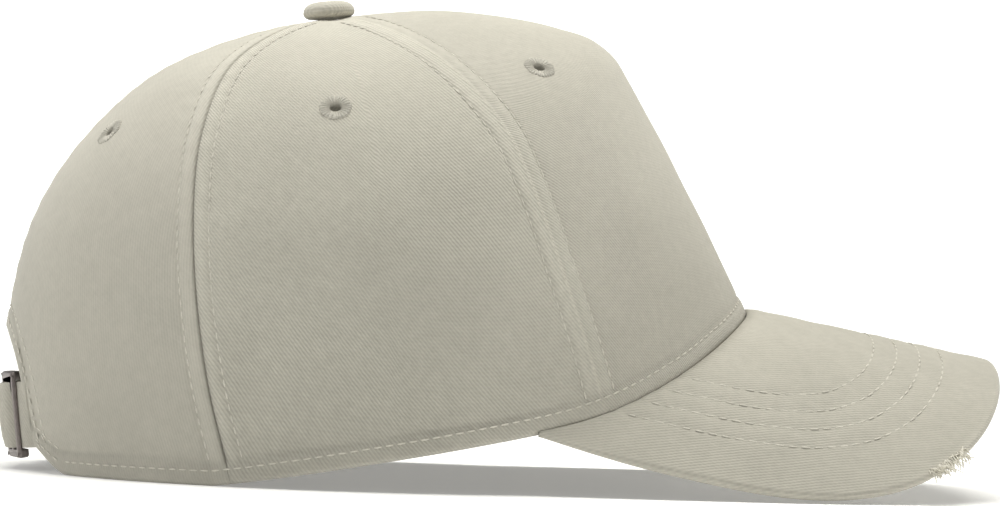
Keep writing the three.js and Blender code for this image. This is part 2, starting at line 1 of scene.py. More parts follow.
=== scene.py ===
# %% [markdown]
# A five panel cap in washed cotton twill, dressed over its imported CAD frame.
# The frame fixes every size and place, so the first step loads it and reads the few lengths that the rest
# of the lesson is worked out from. Everything is in metres, +X points to the tip of the peak, +Z is up,
# and the cap stands on z = 0.

import math

import bmesh
import bpy
import numpy as np
from mathutils import Matrix, Vector


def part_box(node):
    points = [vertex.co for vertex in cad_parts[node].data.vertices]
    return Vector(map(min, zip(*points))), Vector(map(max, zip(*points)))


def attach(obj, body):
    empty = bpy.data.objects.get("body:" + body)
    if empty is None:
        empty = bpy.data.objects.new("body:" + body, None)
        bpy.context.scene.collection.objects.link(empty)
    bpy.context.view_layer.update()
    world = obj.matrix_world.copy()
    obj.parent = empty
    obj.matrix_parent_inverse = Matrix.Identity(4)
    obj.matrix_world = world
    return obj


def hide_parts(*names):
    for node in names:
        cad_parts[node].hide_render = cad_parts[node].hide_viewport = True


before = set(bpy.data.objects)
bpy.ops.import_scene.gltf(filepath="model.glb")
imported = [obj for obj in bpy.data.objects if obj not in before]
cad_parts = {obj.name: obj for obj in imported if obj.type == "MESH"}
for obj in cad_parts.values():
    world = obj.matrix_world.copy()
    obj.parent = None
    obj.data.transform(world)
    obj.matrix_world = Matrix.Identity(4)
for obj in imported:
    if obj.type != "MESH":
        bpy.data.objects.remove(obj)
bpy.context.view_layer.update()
MM = 0.001

hem_step = 0.4 * MM
rim_front_reach = 102 * MM
rim_back_reach = 98 * MM
rim_middle_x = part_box("front_panel")[1][0] - hem_step - rim_front_reach
rim_half_width = 82.5 * MM
rim_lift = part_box("back_panel_right")[0][2]
crown_height = 126.2 * MM
button_setback = 16.2 * MM
wall = 1.8 * MM

# %% [markdown]
# The crown is one smooth surface that five panels share. The front panel is stiff and nearly straight until
# it bends over the top, while the back is round. No primitive has that shape, so the surface is a lofted
# one: a few horizontal sections, each a share of the rim's reaches and of the crown's height, joined by
# cubic curves. Every panel, seam, stitch and eyelet is then placed on it by a bearing round the rim and a
# share of the way up.

# %% The crown's surface
SECTIONS = np.array([
    # up, front, front rise, middle, side, side rise, back, back rise
    (0.00, 1.000, 0.000, 0.000, 1.000, 0.000, 1.000, 0.000),
    (0.12, 0.927, 0.222, 0.012, 1.018, 0.166, 1.045, 0.164),
    (0.25, 0.838, 0.471, 0.074, 1.008, 0.341, 1.040, 0.341),
    (0.36, 0.758, 0.680, 0.167, 0.964, 0.491, 0.990, 0.503),
    (0.44, 0.700, 0.822, 0.260, 0.909, 0.587, 0.927, 0.602),
    (0.48, 0.670, 0.893, 0.320, 0.875, 0.632, 0.889, 0.646),
    (0.52, 0.628, 0.947, 0.383, 0.836, 0.678, 0.845, 0.689),
    (0.60, 0.533, 0.994, 0.506, 0.745, 0.764, 0.737, 0.773),
    (0.70, 0.400, 1.028, 0.660, 0.600, 0.857, 0.580, 0.862),
    (0.80, 0.267, 1.038, 0.815, 0.418, 0.927, 0.396, 0.925),
    (0.90, 0.131, 1.027, 0.938, 0.212, 0.977, 0.198, 0.970),
    (1.00, 0.000, 1.000, 1.000, 0.000, 1.000, 0.000, 1.000),
])
SEAMS = np.array([
    # up, front seam's bearing, rear seam's bearing
    (0.00, 56.2, 114.8),
    (0.12, 57.0, 117.8),
    (0.25, 57.8, 120.2),
    (0.40, 58.4, 123.0),
    (0.55, 58.6, 126.3),
    (0.75, 57.8, 131.6),
    (1.00, 57.4, 134.0),
])


def read_table(table, up):
    """The smooth curve through a table's rows, read at shares of the way up."""
    knots = table[:, 0]
    gaps = np.diff(knots)[:, None]
    chords = np.diff(table[:, 1:], axis=0) / gaps
    slopes = np.empty_like(table[:, 1:])
    slopes[0] = chords[0]
    slopes[-1] = chords[-1]
    slopes[1:-1] = (chords[:-1] * gaps[1:] + chords[1:] * gaps[:-1]) / (gaps[1:] + gaps[:-1])
    up = np.asarray(up, float)
    row = np.clip(np.searchsorted(knots, up, side="right") - 1, 0, len(knots) - 2)
    span = gaps[row, 0][..., None]
    s = (up - knots[row])[..., None] / span
    return (
        (2 * s**3 - 3 * s**2 + 1) * table[row, 1:]
        + (s**3 - 2 * s**2 + s) * span * slopes[row]
        + (3 * s**2 - 2 * s**3) * table[row + 1, 1:]
        + (s**3 - s**2) * span * slopes[row + 1]
    )


PEAK_LENGTH = 69.6 * MM
PEAK_HALF_WIDTH = 80.2 * MM
PEAK_WIDEST_X = 80.3 * MM
PEAK_END_HALF_WIDTH = 78.2 * MM
PEAK_THICKNESS = 3.0 * MM
PEAK_END_THICKNESS = 1.3 * MM
PEAK_REST_X = 112.6 * MM
PEAK_FALL = 0.18
PEAK_FRONT_RISE = 50 * MM
PEAK_SQUARENESS = 2.8
PEAK_END_BEARING = 68
RIM_BELOW_PEAK_TOP = 2 * MM
RIM_REST_BEARING = 118
RIM_FALL_POWER = 1.15

peak_front_length = rim_front_reach + PEAK_LENGTH - PEAK_WIDEST_X
rest_share = ((PEAK_REST_X - PEAK_WIDEST_X) / peak_front_length) ** PEAK_SQUARENESS
peak_rest_y = PEAK_HALF_WIDTH * (1 - rest_share) ** (1 / PEAK_SQUARENESS)
peak_rest_top = PEAK_FRONT_RISE + PEAK_FALL * (rim_front_reach - PEAK_REST_X)
edge_slope = 2 * peak_rest_top / peak_rest_y
peak_arch = (peak_rest_top - PEAK_THICKNESS / math.hypot(1, edge_slope, PEAK_FALL)) / peak_rest_y**2


def peak_top(x, y):
    """Height of the peak's top face over a place that is measured from the rim's middle."""
    return PEAK_FRONT_RISE + PEAK_FALL * (rim_front_reach - x) - peak_arch * y**2


def rim_plan(bearing):
    turn = np.radians(bearing)
    reach = np.where(np.cos(turn) > 0, rim_front_reach, rim_back_reach)
    return reach * np.cos(turn), -rim_half_width * np.sin(turn)


def rim_rise(bearing):
    """Height of the rim: on the peak at the front, then a nearly even fall to the stretch that rests."""
    b = np.abs(bearing)
    on_peak = peak_top(*rim_plan(np.minimum(b, PEAK_END_BEARING))) - RIM_BELOW_PEAK_TOP
    s = np.clip((RIM_REST_BEARING - b) / (RIM_REST_BEARING - PEAK_END_BEARING), 0, 1)
    return on_peak * s**RIM_FALL_POWER


FRONT_BASE = float(rim_rise(0.0))
SIDE_BASE = float(rim_rise(90.0))
RIM_FADE_UP = 0.3


def crown_point(bearing, up):
    """Points of the crown's outer face, in the cap's own frame."""
    bearing, up = np.broadcast_arrays(np.asarray(bearing, float), np.asarray(up, float))
    front, front_rise, middle, side, side_rise, back, back_rise = np.moveaxis(read_table(SECTIONS, up), -1, 0)
    cos = np.cos(np.radians(bearing))
    sin = np.sin(np.radians(bearing))
    middle_x = -button_setback * middle
    front_x = -button_setback + front * (rim_front_reach + button_setback)
    back_x = -button_setback - back * (rim_back_reach - button_setback)
    front_z = FRONT_BASE + front_rise * (crown_height - FRONT_BASE)
    side_z = SIDE_BASE + side_rise * (crown_height - SIDE_BASE)
    ahead = cos > 0
    end_x = np.where(ahead, front_x, back_x)
    end_z = np.where(ahead, front_z, back_rise * crown_height)
    base_z = SIDE_BASE + (np.where(ahead, FRONT_BASE, 0) - SIDE_BASE) * cos**2
    fade = np.clip(1 - up / RIM_FADE_UP, 0, 1) ** 2
    x = middle_x + (end_x - middle_x) * np.abs(cos) + rim_middle_x
    y = -rim_half_width * side * sin
    z = side_z + (end_z - side_z) * cos**2 + (rim_rise(bearing) - base_z) * fade + rim_lift
    return np.stack([x, y, z], axis=-1)


def unit(vectors):
    return vectors / np.linalg.norm(vectors, axis=-1, keepdims=True)


def crown_normal(bearing, up):
    low = np.clip(up, 0.002, 0.994)
    across = crown_point(bearing + 0.2, low) - crown_point(bearing - 0.2, low)
    upward = crown_point(bearing, low + 0.002) - crown_point(bearing, low - 0.002)
    return unit(np.cross(upward, across))


def cloth_point(bearing, up, offset):
    """A point that stands a distance off the crown's outer face."""
    return crown_point(bearing, up) + crown_normal(bearing, up) * np.asarray(offset)[..., None]


def seam_bearing(which, up):
    if which == "back":
        return np.full_like(np.asarray(up, float), 180.0)
    return read_table(SEAMS, up)[..., 0 if which == "front" else 1]


def length_up(bearing, up):
    """Length of cloth from the rim to a share of the way up, along one bearing."""
    steps = np.linspace(0, 1, 401)
    path = crown_point(np.full_like(steps, bearing), steps)
    lengths = np.concatenate([[0], np.cumsum(np.linalg.norm(np.diff(path, axis=0), axis=1))])
    return np.interp(up, steps, lengths)


print("crown is", round(float(length_up(90.0, 1.0)) / MM), "mm from rim to button at the side")
rim_heights = [round(float(rim_rise(bearing)) / MM, 1) for bearing in (0.0, 45.0, 90.0, 135.0)]
print("rim is at", rim_heights, "mm at four bearings")

# %% [markdown]
# Cloth needs a dense, even mesh before any relief shows on it. A grid operator gives one, with a natural
# pair of directions, so each panel starts as a flat grid whose points are then laid on the crown. The two
# directions also give the UV map, in metres of cloth, which the weave follows as it would on a cut panel.

# %% Laying a grid on a surface
def smooth_step(value, low, high):
    s = np.clip((value - low) / (high - low), 0, 1)
    return s * s * (3 - 2 * s)


def bell(distance, centre, width):
    return np.exp(-(((distance - centre) / width) ** 2))


def new_object(name, bm):
    mesh = bpy.data.meshes.new(name)
    bm.to_mesh(mesh)
    bm.free()
    mesh.shade_smooth()
    piece = bpy.data.objects.new(name, mesh)
    bpy.context.collection.objects.link(piece)
    return piece


def lay_grid(columns, rows, place):
    """A grid whose points go where place(s, r) says. It also returns UVs and a tone for each, which holds
    wear and painted shade.
    """
    bm = bmesh.new()
    bmesh.ops.create_grid(bm, x_segments=columns, y_segments=rows, size=1)
    bm.verts.ensure_lookup_table()
    flat = np.array([v.co[:2] for v in bm.verts])
    flat = (flat - flat.min(axis=0)) / np.ptp(flat, axis=0)
    places, uvs, wear_and_shade = place(flat[:, 0], flat[:, 1])
    wear_and_shade_layer = bm.verts.layers.float.new("wear_and_shade")
    for vert, co, wear_and_shade_value in zip(bm.verts, places, wear_and_shade):
        vert.co = co
        vert[wear_and_shade_layer] = wear_and_shade_value
    uv_layer = bm.loops.layers.uv.new("cloth")
    for face in bm.faces:
        face.smooth = True
        for loop in face.loops:
            loop[uv_layer].uv = uvs[loop.vert.index]
    return bm


def thicken(piece, thickness):
    solidify = piece.modifiers.new("cloth wall", "SOLIDIFY")
    solidify.thickness = thickness
    solidify.offset = -1
    solidify.use_even_offset = False


def finish_piece(piece, nodes, material):
    piece.data.materials.clear()
    piece.data.materials.append(material)
    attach(piece, "root")
    if nodes:
        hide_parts(*nodes)
    print(piece.name, "has", len(piece.data.polygons), "faces")


# %% [markdown]
# The finish of the whole cap is one washed cotton twill, so its material comes before the pieces. Twill has
# fine diagonal ribs, each a row of short floats, and the photograph shows the ribs at another slant on each
# panel because each was cut from the cloth another way. The shader draws the ribs from the UV map with
# plain maths. A small class lets that maths be written as Python expressions.

# %% Shader helpers
class Value:
    """A socket that takes part in Python expressions by adding Math nodes."""

    def __init__(self, shader, socket):
        self.shader = shader
        self.socket = socket

    def combine(self, operation, first, second):
        return self.shader.node("ShaderNodeMath", {"operation": operation}, {0: first, 1: second})

    def __add__(self, other):
        return self.combine("ADD", self, other)

    def __radd__(self, other):
        return self.combine("ADD", other, self)

    def __sub__(self, other):
        return self.combine("SUBTRACT", self, other)

    def __rsub__(self, other):
        return self.combine("SUBTRACT", other, self)

    def __mul__(self, other):
        return self.combine("MULTIPLY", self, other)

    def __rmul__(self, other):
        return self.combine("MULTIPLY", other, self)


class Shader:
    """A material under construction, with one method that adds any node."""

    def __init__(self, name):
        self.material = bpy.data.materials.new(name)
        self.material.use_nodes = True
        self.tree = self.material.node_tree
        self.place = self.node("ShaderNodeTexCoord", output="Object")

    def node(self, kind, settings=None, inputs=None, output=0):
        made = self.tree.nodes.new(kind)
        for key, setting in (settings or {}).items():
            setattr(made, key, setting)
        for key, given in (inputs or {}).items():
            self.feed(made.inputs[key], given)
        return Value(self, made.outputs[output])

    def feed(self, socket, given):
        if isinstance(given, Value):
            self.tree.links.new(given.socket, socket)
        else:
            socket.default_value = given

    def wave(self, value):
        """A sine between 0 and 1."""
        return self.node("ShaderNodeMath", {"operation": "SINE"}, {0: value}) * 0.5 + 0.5

    def noise(self, scale, detail=2.0):
        inputs = {"Vector": self.place, "Scale": scale, "Detail": detail, "Roughness": 0.55}
        return self.node("ShaderNodeTexNoise", {}, inputs)

    def axis(self, vector, axis):
        return self.node("ShaderNodeSeparateXYZ", {}, {0: vector}, output=axis)

    def blend(self, factor, dark, light):
        """A colour between two, by a factor from 0 to 1."""
        inputs = {"Factor": factor, 6: dark, 7: light}
        return self.node("ShaderNodeMix", {"data_type": "RGBA"}, inputs, output=2)

    def bump(self, height, strength, distance):
        inputs = {"Strength": strength, "Distance": distance, "Height": height}
        return self.node("ShaderNodeBump", {}, inputs)

    def finish(self, looks):
        """Gives the surface its looks: names of its inputs, each with a socket or a plain value."""
        surface = self.tree.nodes["Principled BSDF"]
        for name, given in looks.items():
            self.feed(surface.inputs[name], given)
        return self.material


# Painted light: how much paler the cloth's colour is made for each metre of height.
PAINTED_TOP_LIGHT = 2.6
CLOTH_DARK = (0.290, 0.279, 0.240, 1)
CLOTH_LIGHT = (0.665, 0.640, 0.556, 1)
THREAD_DARK = (0.38, 0.367, 0.324, 1)
THREAD_LIGHT = (0.72, 0.695, 0.61, 1)
FLOAT_LENGTH = 1.7
WEAVE_MIDDLE = 0.59
RIB_CONTRAST = 0.46


def twill(name, slant, pitch=0.87 * MM, depth=1.0):
    """Washed twill whose ribs lie at a slant, in degrees from the cloth's width, more or less deep.

    Its colour is painted paler towards the top of the cap, as painted light from above, and its weave shows
    more crisply there.
    """
    shader = Shader(name)
    uv = shader.node("ShaderNodeUVMap", {"uv_map": "cloth"})
    across = shader.axis(uv, "X")
    along = shader.axis(uv, "Y")
    turn = math.radians(slant)
    over_ribs = along * math.cos(turn) - across * math.sin(turn)
    down_rib = along * math.sin(turn) + across * math.cos(turn)
    waver = shader.noise(260.0) - 0.5
    ribs = shader.wave(over_ribs * (2 * math.pi / pitch) + waver * 2.2)
    float_turn = down_rib * (2 * math.pi / (FLOAT_LENGTH * pitch)) + over_ribs * (math.pi / pitch)
    floats = shader.wave(float_turn + waver * 3.0)
    yarn = shader.noise(1500.0, 1.0)
    weave = ribs * 0.7 + floats * 0.18 + yarn * 0.3
    slub = shader.noise(420.0, 3.0)
    fade = shader.noise(26.0, 3.0)
    # The vertices' tone: wear and paler edges, with painted shade in the seam grooves, the crease above the
    # hem and the peak's joint with the crown.
    wear_and_shade_value = shader.node("ShaderNodeAttribute", {"attribute_name": "wear_and_shade"}, output="Fac")
    # Painted light: the colour grows paler with height, as if lit more from above, and the ribs grow crisper
    # with it.
    painted_top_light = shader.axis(shader.place, "Z") * PAINTED_TOP_LIGHT
    crisp = painted_top_light * 1.6 + 0.55
    weave_tone = (weave - WEAVE_MIDDLE) * crisp * (RIB_CONTRAST * depth)
    tone = weave_tone + slub * 0.24 + fade * 0.30 + wear_and_shade_value * 0.5 + painted_top_light + 0.07
    return shader.finish({
        "Base Color": shader.blend(tone, CLOTH_DARK, CLOTH_LIGHT),
        "Roughness": 1.0 - ribs * 0.12,
        "Specular IOR Level": 0.15,
        "Sheen Weight": 0.12,
        "Sheen Roughness": 0.5,
        "Normal": shader.bump(weave, 0.65 * depth, 0.18 * MM),
    })


def thread_finish(name, shade):
    """Spun thread: a twisted yarn with a slight gloss, paler as its shade rises."""
    shader = Shader(name)
    twist = shader.noise(2600.0, 1.0)
    patch = shader.noise(120.0)
    tone = (twist * 0.5 + patch * 0.5) * shade
    return shader.finish({
        "Base Color": shader.blend(tone, THREAD_DARK, THREAD_LIGHT),
        "Roughness": 0.62 + patch * 0.2,
        "Specular IOR Level": 0.3,
        "Normal": shader.bump(twist, 0.5, 0.1 * MM),
    })


side_twill = twill("twill_side_panels", 60, depth=1.0)
front_twill = twill("twill_front_panel", 73, pitch=0.74 * MM, depth=1.1)
back_twill = twill("twill_back_panels", 82, depth=0.5)
peak_twill = twill("twill_peak", 21, pitch=0.84 * MM, depth=0.75)
trim_twill = twill("twill_trim", 60, pitch=0.74 * MM, depth=0.6)
sewing_thread = thread_finish("sewing_thread", 1.2)
embroidery = thread_finish("embroidery_thread", 0.8)
pale_yarn = thread_finish("pale_yarn", 2.4)
print("materials so far:", len(bpy.data.materials))

# %% [markdown]
# Each panel is cut with a seam allowance that is turned under and stitched down on both sides. On the
# outside that shows as a narrow dark groove, a soft welt beside it, and a row of stitches about 4.6 mm off
# that pulls the cloth down a little. These few tenths of a millimetre catch the light, so they are real
# relief on the grid. The grid's columns crowd towards the seams, where the relief is.

# %% Relief of seams, hem and folds
ROW_FROM_SEAM = 4.6 * MM
STITCH_PITCH = 3.1 * MM
HEM_HEIGHT = 5.5 * MM
CLOTH_RISE = 170 * MM
PANEL_TOP = 0.972
CROWDING = 0.78


def soft_folds(places):
    """The slight unevenness of washed cloth over the whole crown, in metres."""
    x, y, z = np.moveaxis(places, -1, 0)
    broad = np.sin(x * 61 + z * 38 + 0.6) * np.sin(z * 74 - x * 22 + y * 19)
    narrow = np.sin(x * 148 - z * 117 + y * 80) * np.sin(z * 163 + x * 71 + 1.9)
    return broad * 0.42 * MM + narrow * 0.13 * MM


def stitch_pull(along):
    """A wave of 0 to 1 along a row, one for each stitch."""
    return 0.5 + 0.5 * np.cos(2 * np.pi * along / STITCH_PITCH)


def gathers(height, along, away, pitch, drift):
    """Small uneven puckers along a row of stitches, which fade away from it over a few millimetres."""
    return height * np.sin(along / pitch + 2 * np.sin(along / drift)) * np.exp(-away / (5 * MM))


def seam_distance(which, bearing, up):
    """Distance along the cloth from the nearer seam of a pair."""
    turned = np.abs((bearing + 180) % 360 - 180)
    return np.abs(turned - seam_bearing(which, up)) * degree_length(bearing, up)


def seam_relief(gap, along, ridge):
    """Height of the cloth near a seam: a fine groove, or a faint ridge where the allowances lie flat."""
    groove = -0.42 * MM * bell(gap, 0, 0.36 * MM) * (1 - ridge) + 0.16 * MM * bell(gap, 0, 0.5 * MM) * ridge
    welt = 0.26 * MM * bell(gap, 2.4 * MM, 1.7 * MM)
    row = -0.31 * MM * bell(gap, ROW_FROM_SEAM, 0.6 * MM) * (0.55 + 0.45 * stitch_pull(along))
    pucker = gathers(0.12 * MM, along, gap, 1.15 * MM, 9 * MM)
    return groove + welt + row + pucker * smooth_step(gap, 0.8 * MM, 2 * MM)


def hem_relief(above, along, row_height):
    """Height of the cloth near the rim: a rolled hem, its row of stitches and the crease above it."""
    roll = 0.45 * MM * (1 - smooth_step(above, HEM_HEIGHT - 0.9 * MM, HEM_HEIGHT + 0.5 * MM))
    edge = -0.75 * MM * (1 - smooth_step(above, 0, 1.0 * MM)) ** 2
    crease = -0.16 * MM * bell(above, HEM_HEIGHT + 0.4 * MM, 0.6 * MM)
    row = -0.30 * MM * bell(above, row_height, 0.6 * MM) * (0.5 + 0.5 * stitch_pull(along))
    ripple = gathers(0.10 * MM, along, above, 1.9 * MM, 13 * MM)
    return roll + edge + crease + row + ripple * smooth_step(above, 0.5 * MM, 2 * MM)


def rim_row_height(bearing):
    """The row of stitches round the rim stands a little higher at the front than at the back."""
    return (3.6 + 1.6 * np.cos(np.radians(bearing) / 2) ** 2) * MM


def crowd_to_edges(s):
    return s - CROWDING * np.sin(2 * np.pi * s) / (2 * np.pi)


def degree_length(bearing, up):
    return np.linalg.norm(crown_point(bearing + 0.5, up) - crown_point(bearing - 0.5, up), axis=-1)


def rise_length(bearing, up):
    step = 0.004
    return np.linalg.norm(crown_point(bearing, up + step) - crown_point(bearing, up), axis=-1) / step


def crown_relief(bearing, up, above):
    """Offset of the crown's cloth, which its stitches follow too, and its seam tone, with painted shade in
    the seam grooves.
    """
    ridge_gap = seam_distance("front", bearing, up)
    groove_gap = np.minimum(seam_distance("rear", bearing, up), seam_distance("back", bearing, up))
    gap = np.minimum(ridge_gap, groove_gap)
    ridge = (ridge_gap < groove_gap).astype(float)
    near_top = 1 - smooth_step(up, 0.9, 0.96)
    over_hem = 0.25 + 0.75 * smooth_step(above, 0.7 * HEM_HEIGHT, 1.2 * HEM_HEIGHT)
    offset = seam_relief(gap, up * CLOTH_RISE, ridge) * near_top * over_hem
    offset = offset + soft_folds(crown_point(bearing, up)) * smooth_step(gap, 0, 9 * MM)
    along_hem = bearing * degree_length(bearing, up)
    offset = offset + hem_relief(above, along_hem, rim_row_height(bearing)) * near_top
    # Seam tone: paler on the raised welts and the front seam's ridge, and darker in the seam grooves as
    # painted shade.
    wear_and_shade = 0.22 * bell(gap, 2.4 * MM, 1.5 * MM) - 0.75 * bell(gap, 0, 0.5 * MM) * (1 - ridge)
    wear_and_shade = wear_and_shade + 0.4 * ridge * bell(gap, 0, 0.6 * MM)
    return offset, wear_and_shade * over_hem


def sewn_panel(low_seam, high_seam, foot):
    """Where a panel's grid points go: between two seams, from its foot on the rim up to the button."""

    def place(s, r):
        s = crowd_to_edges(1 - s)
        foot_bearing, foot_up = foot(s)
        up = foot_up + (PANEL_TOP - foot_up) * r
        low = low_seam(up)
        high = high_seam(up)
        foot_share = (foot_bearing - low_seam(foot_up)) / (high_seam(foot_up) - low_seam(foot_up))
        share = foot_share + (s - foot_share) * r
        bearing = low + (high - low) * share
        above = (up - foot_up) * rise_length(bearing, foot_up)
        offset, wear_and_shade = crown_relief(bearing, up, above)
        # Paler along the hem's folded edge at the rim; darker in the crease above the hem, as painted shade.
        wear_and_shade = wear_and_shade + 0.30 * (1 - smooth_step(above, 0, 1.2 * MM))
        wear_and_shade = wear_and_shade - 0.25 * bell(above, HEM_HEIGHT + 0.4 * MM, 0.7 * MM)
        across = (bearing - (low + high) / 2) * degree_length(bearing, up)
        return cloth_point(bearing, up, offset), np.stack([across, up * CLOTH_RISE], axis=-1), wear_and_shade

    return place


def rim_foot(low_seam, high_seam):
    def foot(s):
        zero = np.zeros_like(s)
        return low_seam(zero) + (high_seam(zero) - low_seam(zero)) * s, zero

    return foot


# %% [markdown]
# The front and side panels stand on the rim. The back panels meet at the centre of the back, and their
# lower edge leaves the rim there to run up the arch of the opening, so their foot is a curve of its own.

# %% Foot of a back panel
OPENING_HALF_WIDTH = 29.5 * MM
OPENING_HEIGHT = 37.5 * MM
OPENING_FLARE = 12 * MM
OPENING_FLARE_HEIGHT = 6.5 * MM
OPENING_SQUARENESS = 2.3
OPENING_FLARE_POWER = 1.3
RIM_SHARE = 0.40
FLARE_SHARE = 0.16


def bearing_across(across):
    return 180 - np.degrees(np.arcsin(np.clip(across / rim_half_width, -1, 1)))


def up_at_height(bearing, height):
    low = np.zeros_like(bearing)
    high = np.full_like(bearing, 0.6)
    for _ in range(30):
        middle = (low + high) / 2
        under = crown_point(bearing, middle)[..., 2] < height + rim_lift
        low = np.where(under, middle, low)
        high = np.where(under, high, middle)
    return (low + high) / 2


def opening_edge(s):
    """Bearing and share of the way up along the foot of the right back panel, from its seam to the centre."""
    start = float(seam_bearing("rear", 0.0))
    corner = bearing_across(OPENING_HALF_WIDTH + OPENING_FLARE)
    on_rim = start + (corner - start) * np.clip(s / RIM_SHARE, 0, 1)
    flare = np.clip((s - RIM_SHARE) / FLARE_SHARE, 0, 1)
    turn = np.clip((s - RIM_SHARE - FLARE_SHARE) / (1 - RIM_SHARE - FLARE_SHARE), 0, 1) * np.pi / 2
    power = 2 / OPENING_SQUARENESS
    across = OPENING_HALF_WIDTH * np.cos(turn).clip(0, 1) ** power + OPENING_FLARE * (1 - flare)
    height = OPENING_FLARE_HEIGHT * flare**OPENING_FLARE_POWER
    height = height + (OPENING_HEIGHT - OPENING_FLARE_HEIGHT) * np.sin(turn) ** power
    bearing = np.where(s < RIM_SHARE, on_rim, bearing_across(across))
    up = np.where(s < RIM_SHARE, 0.0, up_at_height(bearing, height))
    return bearing, up


def mirrored_foot(s):
    bearing, up = opening_edge(1 - s)
    return -bearing, up


# %% Front, side and back panels
def seam_line(which, side):
    """A seam's bearing at any share of the way up, on the wearer's right (1) or left (-1)."""

    def line(up):
        return side * seam_bearing(which, up)

    return line


front_high = seam_line("front", 1)
front_low = seam_line("front", -1)
rear_high = seam_line("rear", 1)
rear_low = seam_line("rear", -1)
centre_high = seam_line("back", 1)
centre_low = seam_line("back", -1)
PANEL_ROWS = 150
PANELS = [
    ("front_panel", front_low, front_high, rim_foot(front_low, front_high), front_twill, 190),
    ("side_panel_right", front_high, rear_high, rim_foot(front_high, rear_high), side_twill, 140),
    ("side_panel_left", rear_low, front_low, rim_foot(rear_low, front_low), side_twill, 140),
    ("back_panel_right", rear_high, centre_high, opening_edge, back_twill, 130),
    ("back_panel_left", centre_low, rear_low, mirrored_foot, back_twill, 130),
]

VENTS = [("front", 37.8, 0.57), ("side", 97.0, 0.61), ("back", 157.5, 0.557)]
VENT_HOLE = 2.3 * MM


def cut_vents(bm):
    """Opens the cloth under each embroidered eyelet."""
    centres = [Vector(crown_point(side * bearing, up)) for _, bearing, up in VENTS for side in (1, -1)]
    holes = [f for f in bm.faces if min((f.calc_center_median() - c).length for c in centres) < VENT_HOLE]
    bmesh.ops.delete(bm, geom=holes, context="FACES")
    return bm


for node, low_seam, high_seam, foot, material, columns in PANELS:
    panel_grid = lay_grid(columns, PANEL_ROWS, sewn_panel(low_seam, high_seam, foot))
    cloth = new_object(node + "_cloth", cut_vents(panel_grid))
    thicken(cloth, wall)
    finish_piece(cloth, [node], material)

# %% [markdown]
# The peak is a stiff board wrapped in the same twill, bent over an arch and stitched in four rows that
# follow its edge. The rows keep a constant distance from the edge in the flat cloth, so distances are
# measured on the flattened peak. One grid is wrapped round the board: out along the top, over the rounded
# edge, and back underneath. Its open inner side is bridged, and its two ends are filled.

# %% The peak's plan
PEAK_FULL_SHARE = 0.72
PEAK_FIRST_ROW = 16.4 * MM
PEAK_ROW_GAP = 6.45 * MM
PEAK_ROWS = [PEAK_FIRST_ROW + PEAK_ROW_GAP * k for k in range(4)]
peak_end_x = float(rim_plan(PEAK_END_BEARING)[0])


def peak_edge_plan(share):
    """The peak's outer edge: squarish round the tip, tapering back a little to its two ends."""
    s = np.abs(share)
    side = -np.sign(share)
    turn = np.clip(s / PEAK_FULL_SHARE, 0, 1) * np.pi / 2
    power = 2 / PEAK_SQUARENESS
    back = np.clip((s - PEAK_FULL_SHARE) / (1 - PEAK_FULL_SHARE), 0, 1)
    x = PEAK_WIDEST_X + peak_front_length * np.cos(turn).clip(0, 1) ** power
    x = x - (PEAK_WIDEST_X - peak_end_x) * back
    y = PEAK_HALF_WIDTH * np.sin(turn) ** power - (PEAK_HALF_WIDTH - PEAK_END_HALF_WIDTH) * back**2
    return x, side * y


def arch_length(y):
    """Length of the arch from the middle of the peak out to a half width."""
    k = 2 * peak_arch
    return 0.5 * (y * np.sqrt(1 + (k * y) ** 2) + np.arcsinh(k * y) / k)


half_widths = np.linspace(-90 * MM, 90 * MM, 721)
arch_lengths = arch_length(half_widths)
fall_stretch = math.hypot(1, PEAK_FALL)


def flatten(x, y):
    return np.stack([x * fall_stretch, arch_length(y)], axis=-1)


def unflatten(flat):
    return flat[..., 0] / fall_stretch, np.interp(flat[..., 1], arch_lengths, half_widths)


flat_edge = flatten(*peak_edge_plan(np.linspace(-1, 1, 801)))


def distance_from_edge(x, y):
    points = flatten(x, y).reshape(-1, 2)
    nearest = [np.sqrt(((flat_edge - p) ** 2).sum(axis=1).min()) for p in points]
    return np.array(nearest).reshape(np.shape(x))


def peak_normal(y):
    return unit(np.stack([np.full_like(y, PEAK_FALL), 2 * peak_arch * y, np.ones_like(y)], axis=-1))


def peak_board(x, y):
    """Points of the peak's top face, in the cap's own frame."""
    return np.stack([x + rim_middle_x, y, peak_top(x, y) + rim_lift], axis=-1)


print("peak is", round(2 * float(arch_length(PEAK_HALF_WIDTH)) / MM), "mm across when laid flat")

# %% Wrap the peak's cloth round its board
TOP_SHARE = 0.52
EDGE_SHARE = 0.60
FRAY_X = 149.5 * MM
FRAY_LENGTH = 15 * MM
EDGE_RUN = 235 * MM
INSET_LIMIT = 0.45


def fray_mask(x, y, from_edge):
    """Where the twill of the edge is rubbed through, on the wearer's right."""
    along = np.where(y < 0, bell(x, FRAY_X, FRAY_LENGTH * 0.6), 0)
    return along * (1 - smooth_step(from_edge, 0, 3.2 * MM))


def stitched_relief(from_edge, along):
    pull = stitch_pull(along)
    relief = 0.10 * MM * np.sin(along / (4.5 * MM) + from_edge / (2.2 * MM))
    relief = relief * smooth_step(from_edge, 0, 6 * MM)
    for row in PEAK_ROWS:
        relief = relief - 0.16 * MM * bell(from_edge, row, 0.8 * MM) * (0.6 + 0.4 * pull)
        relief = relief + 0.10 * MM * bell(from_edge, row + 3.2 * MM, 1.8 * MM)
    return relief


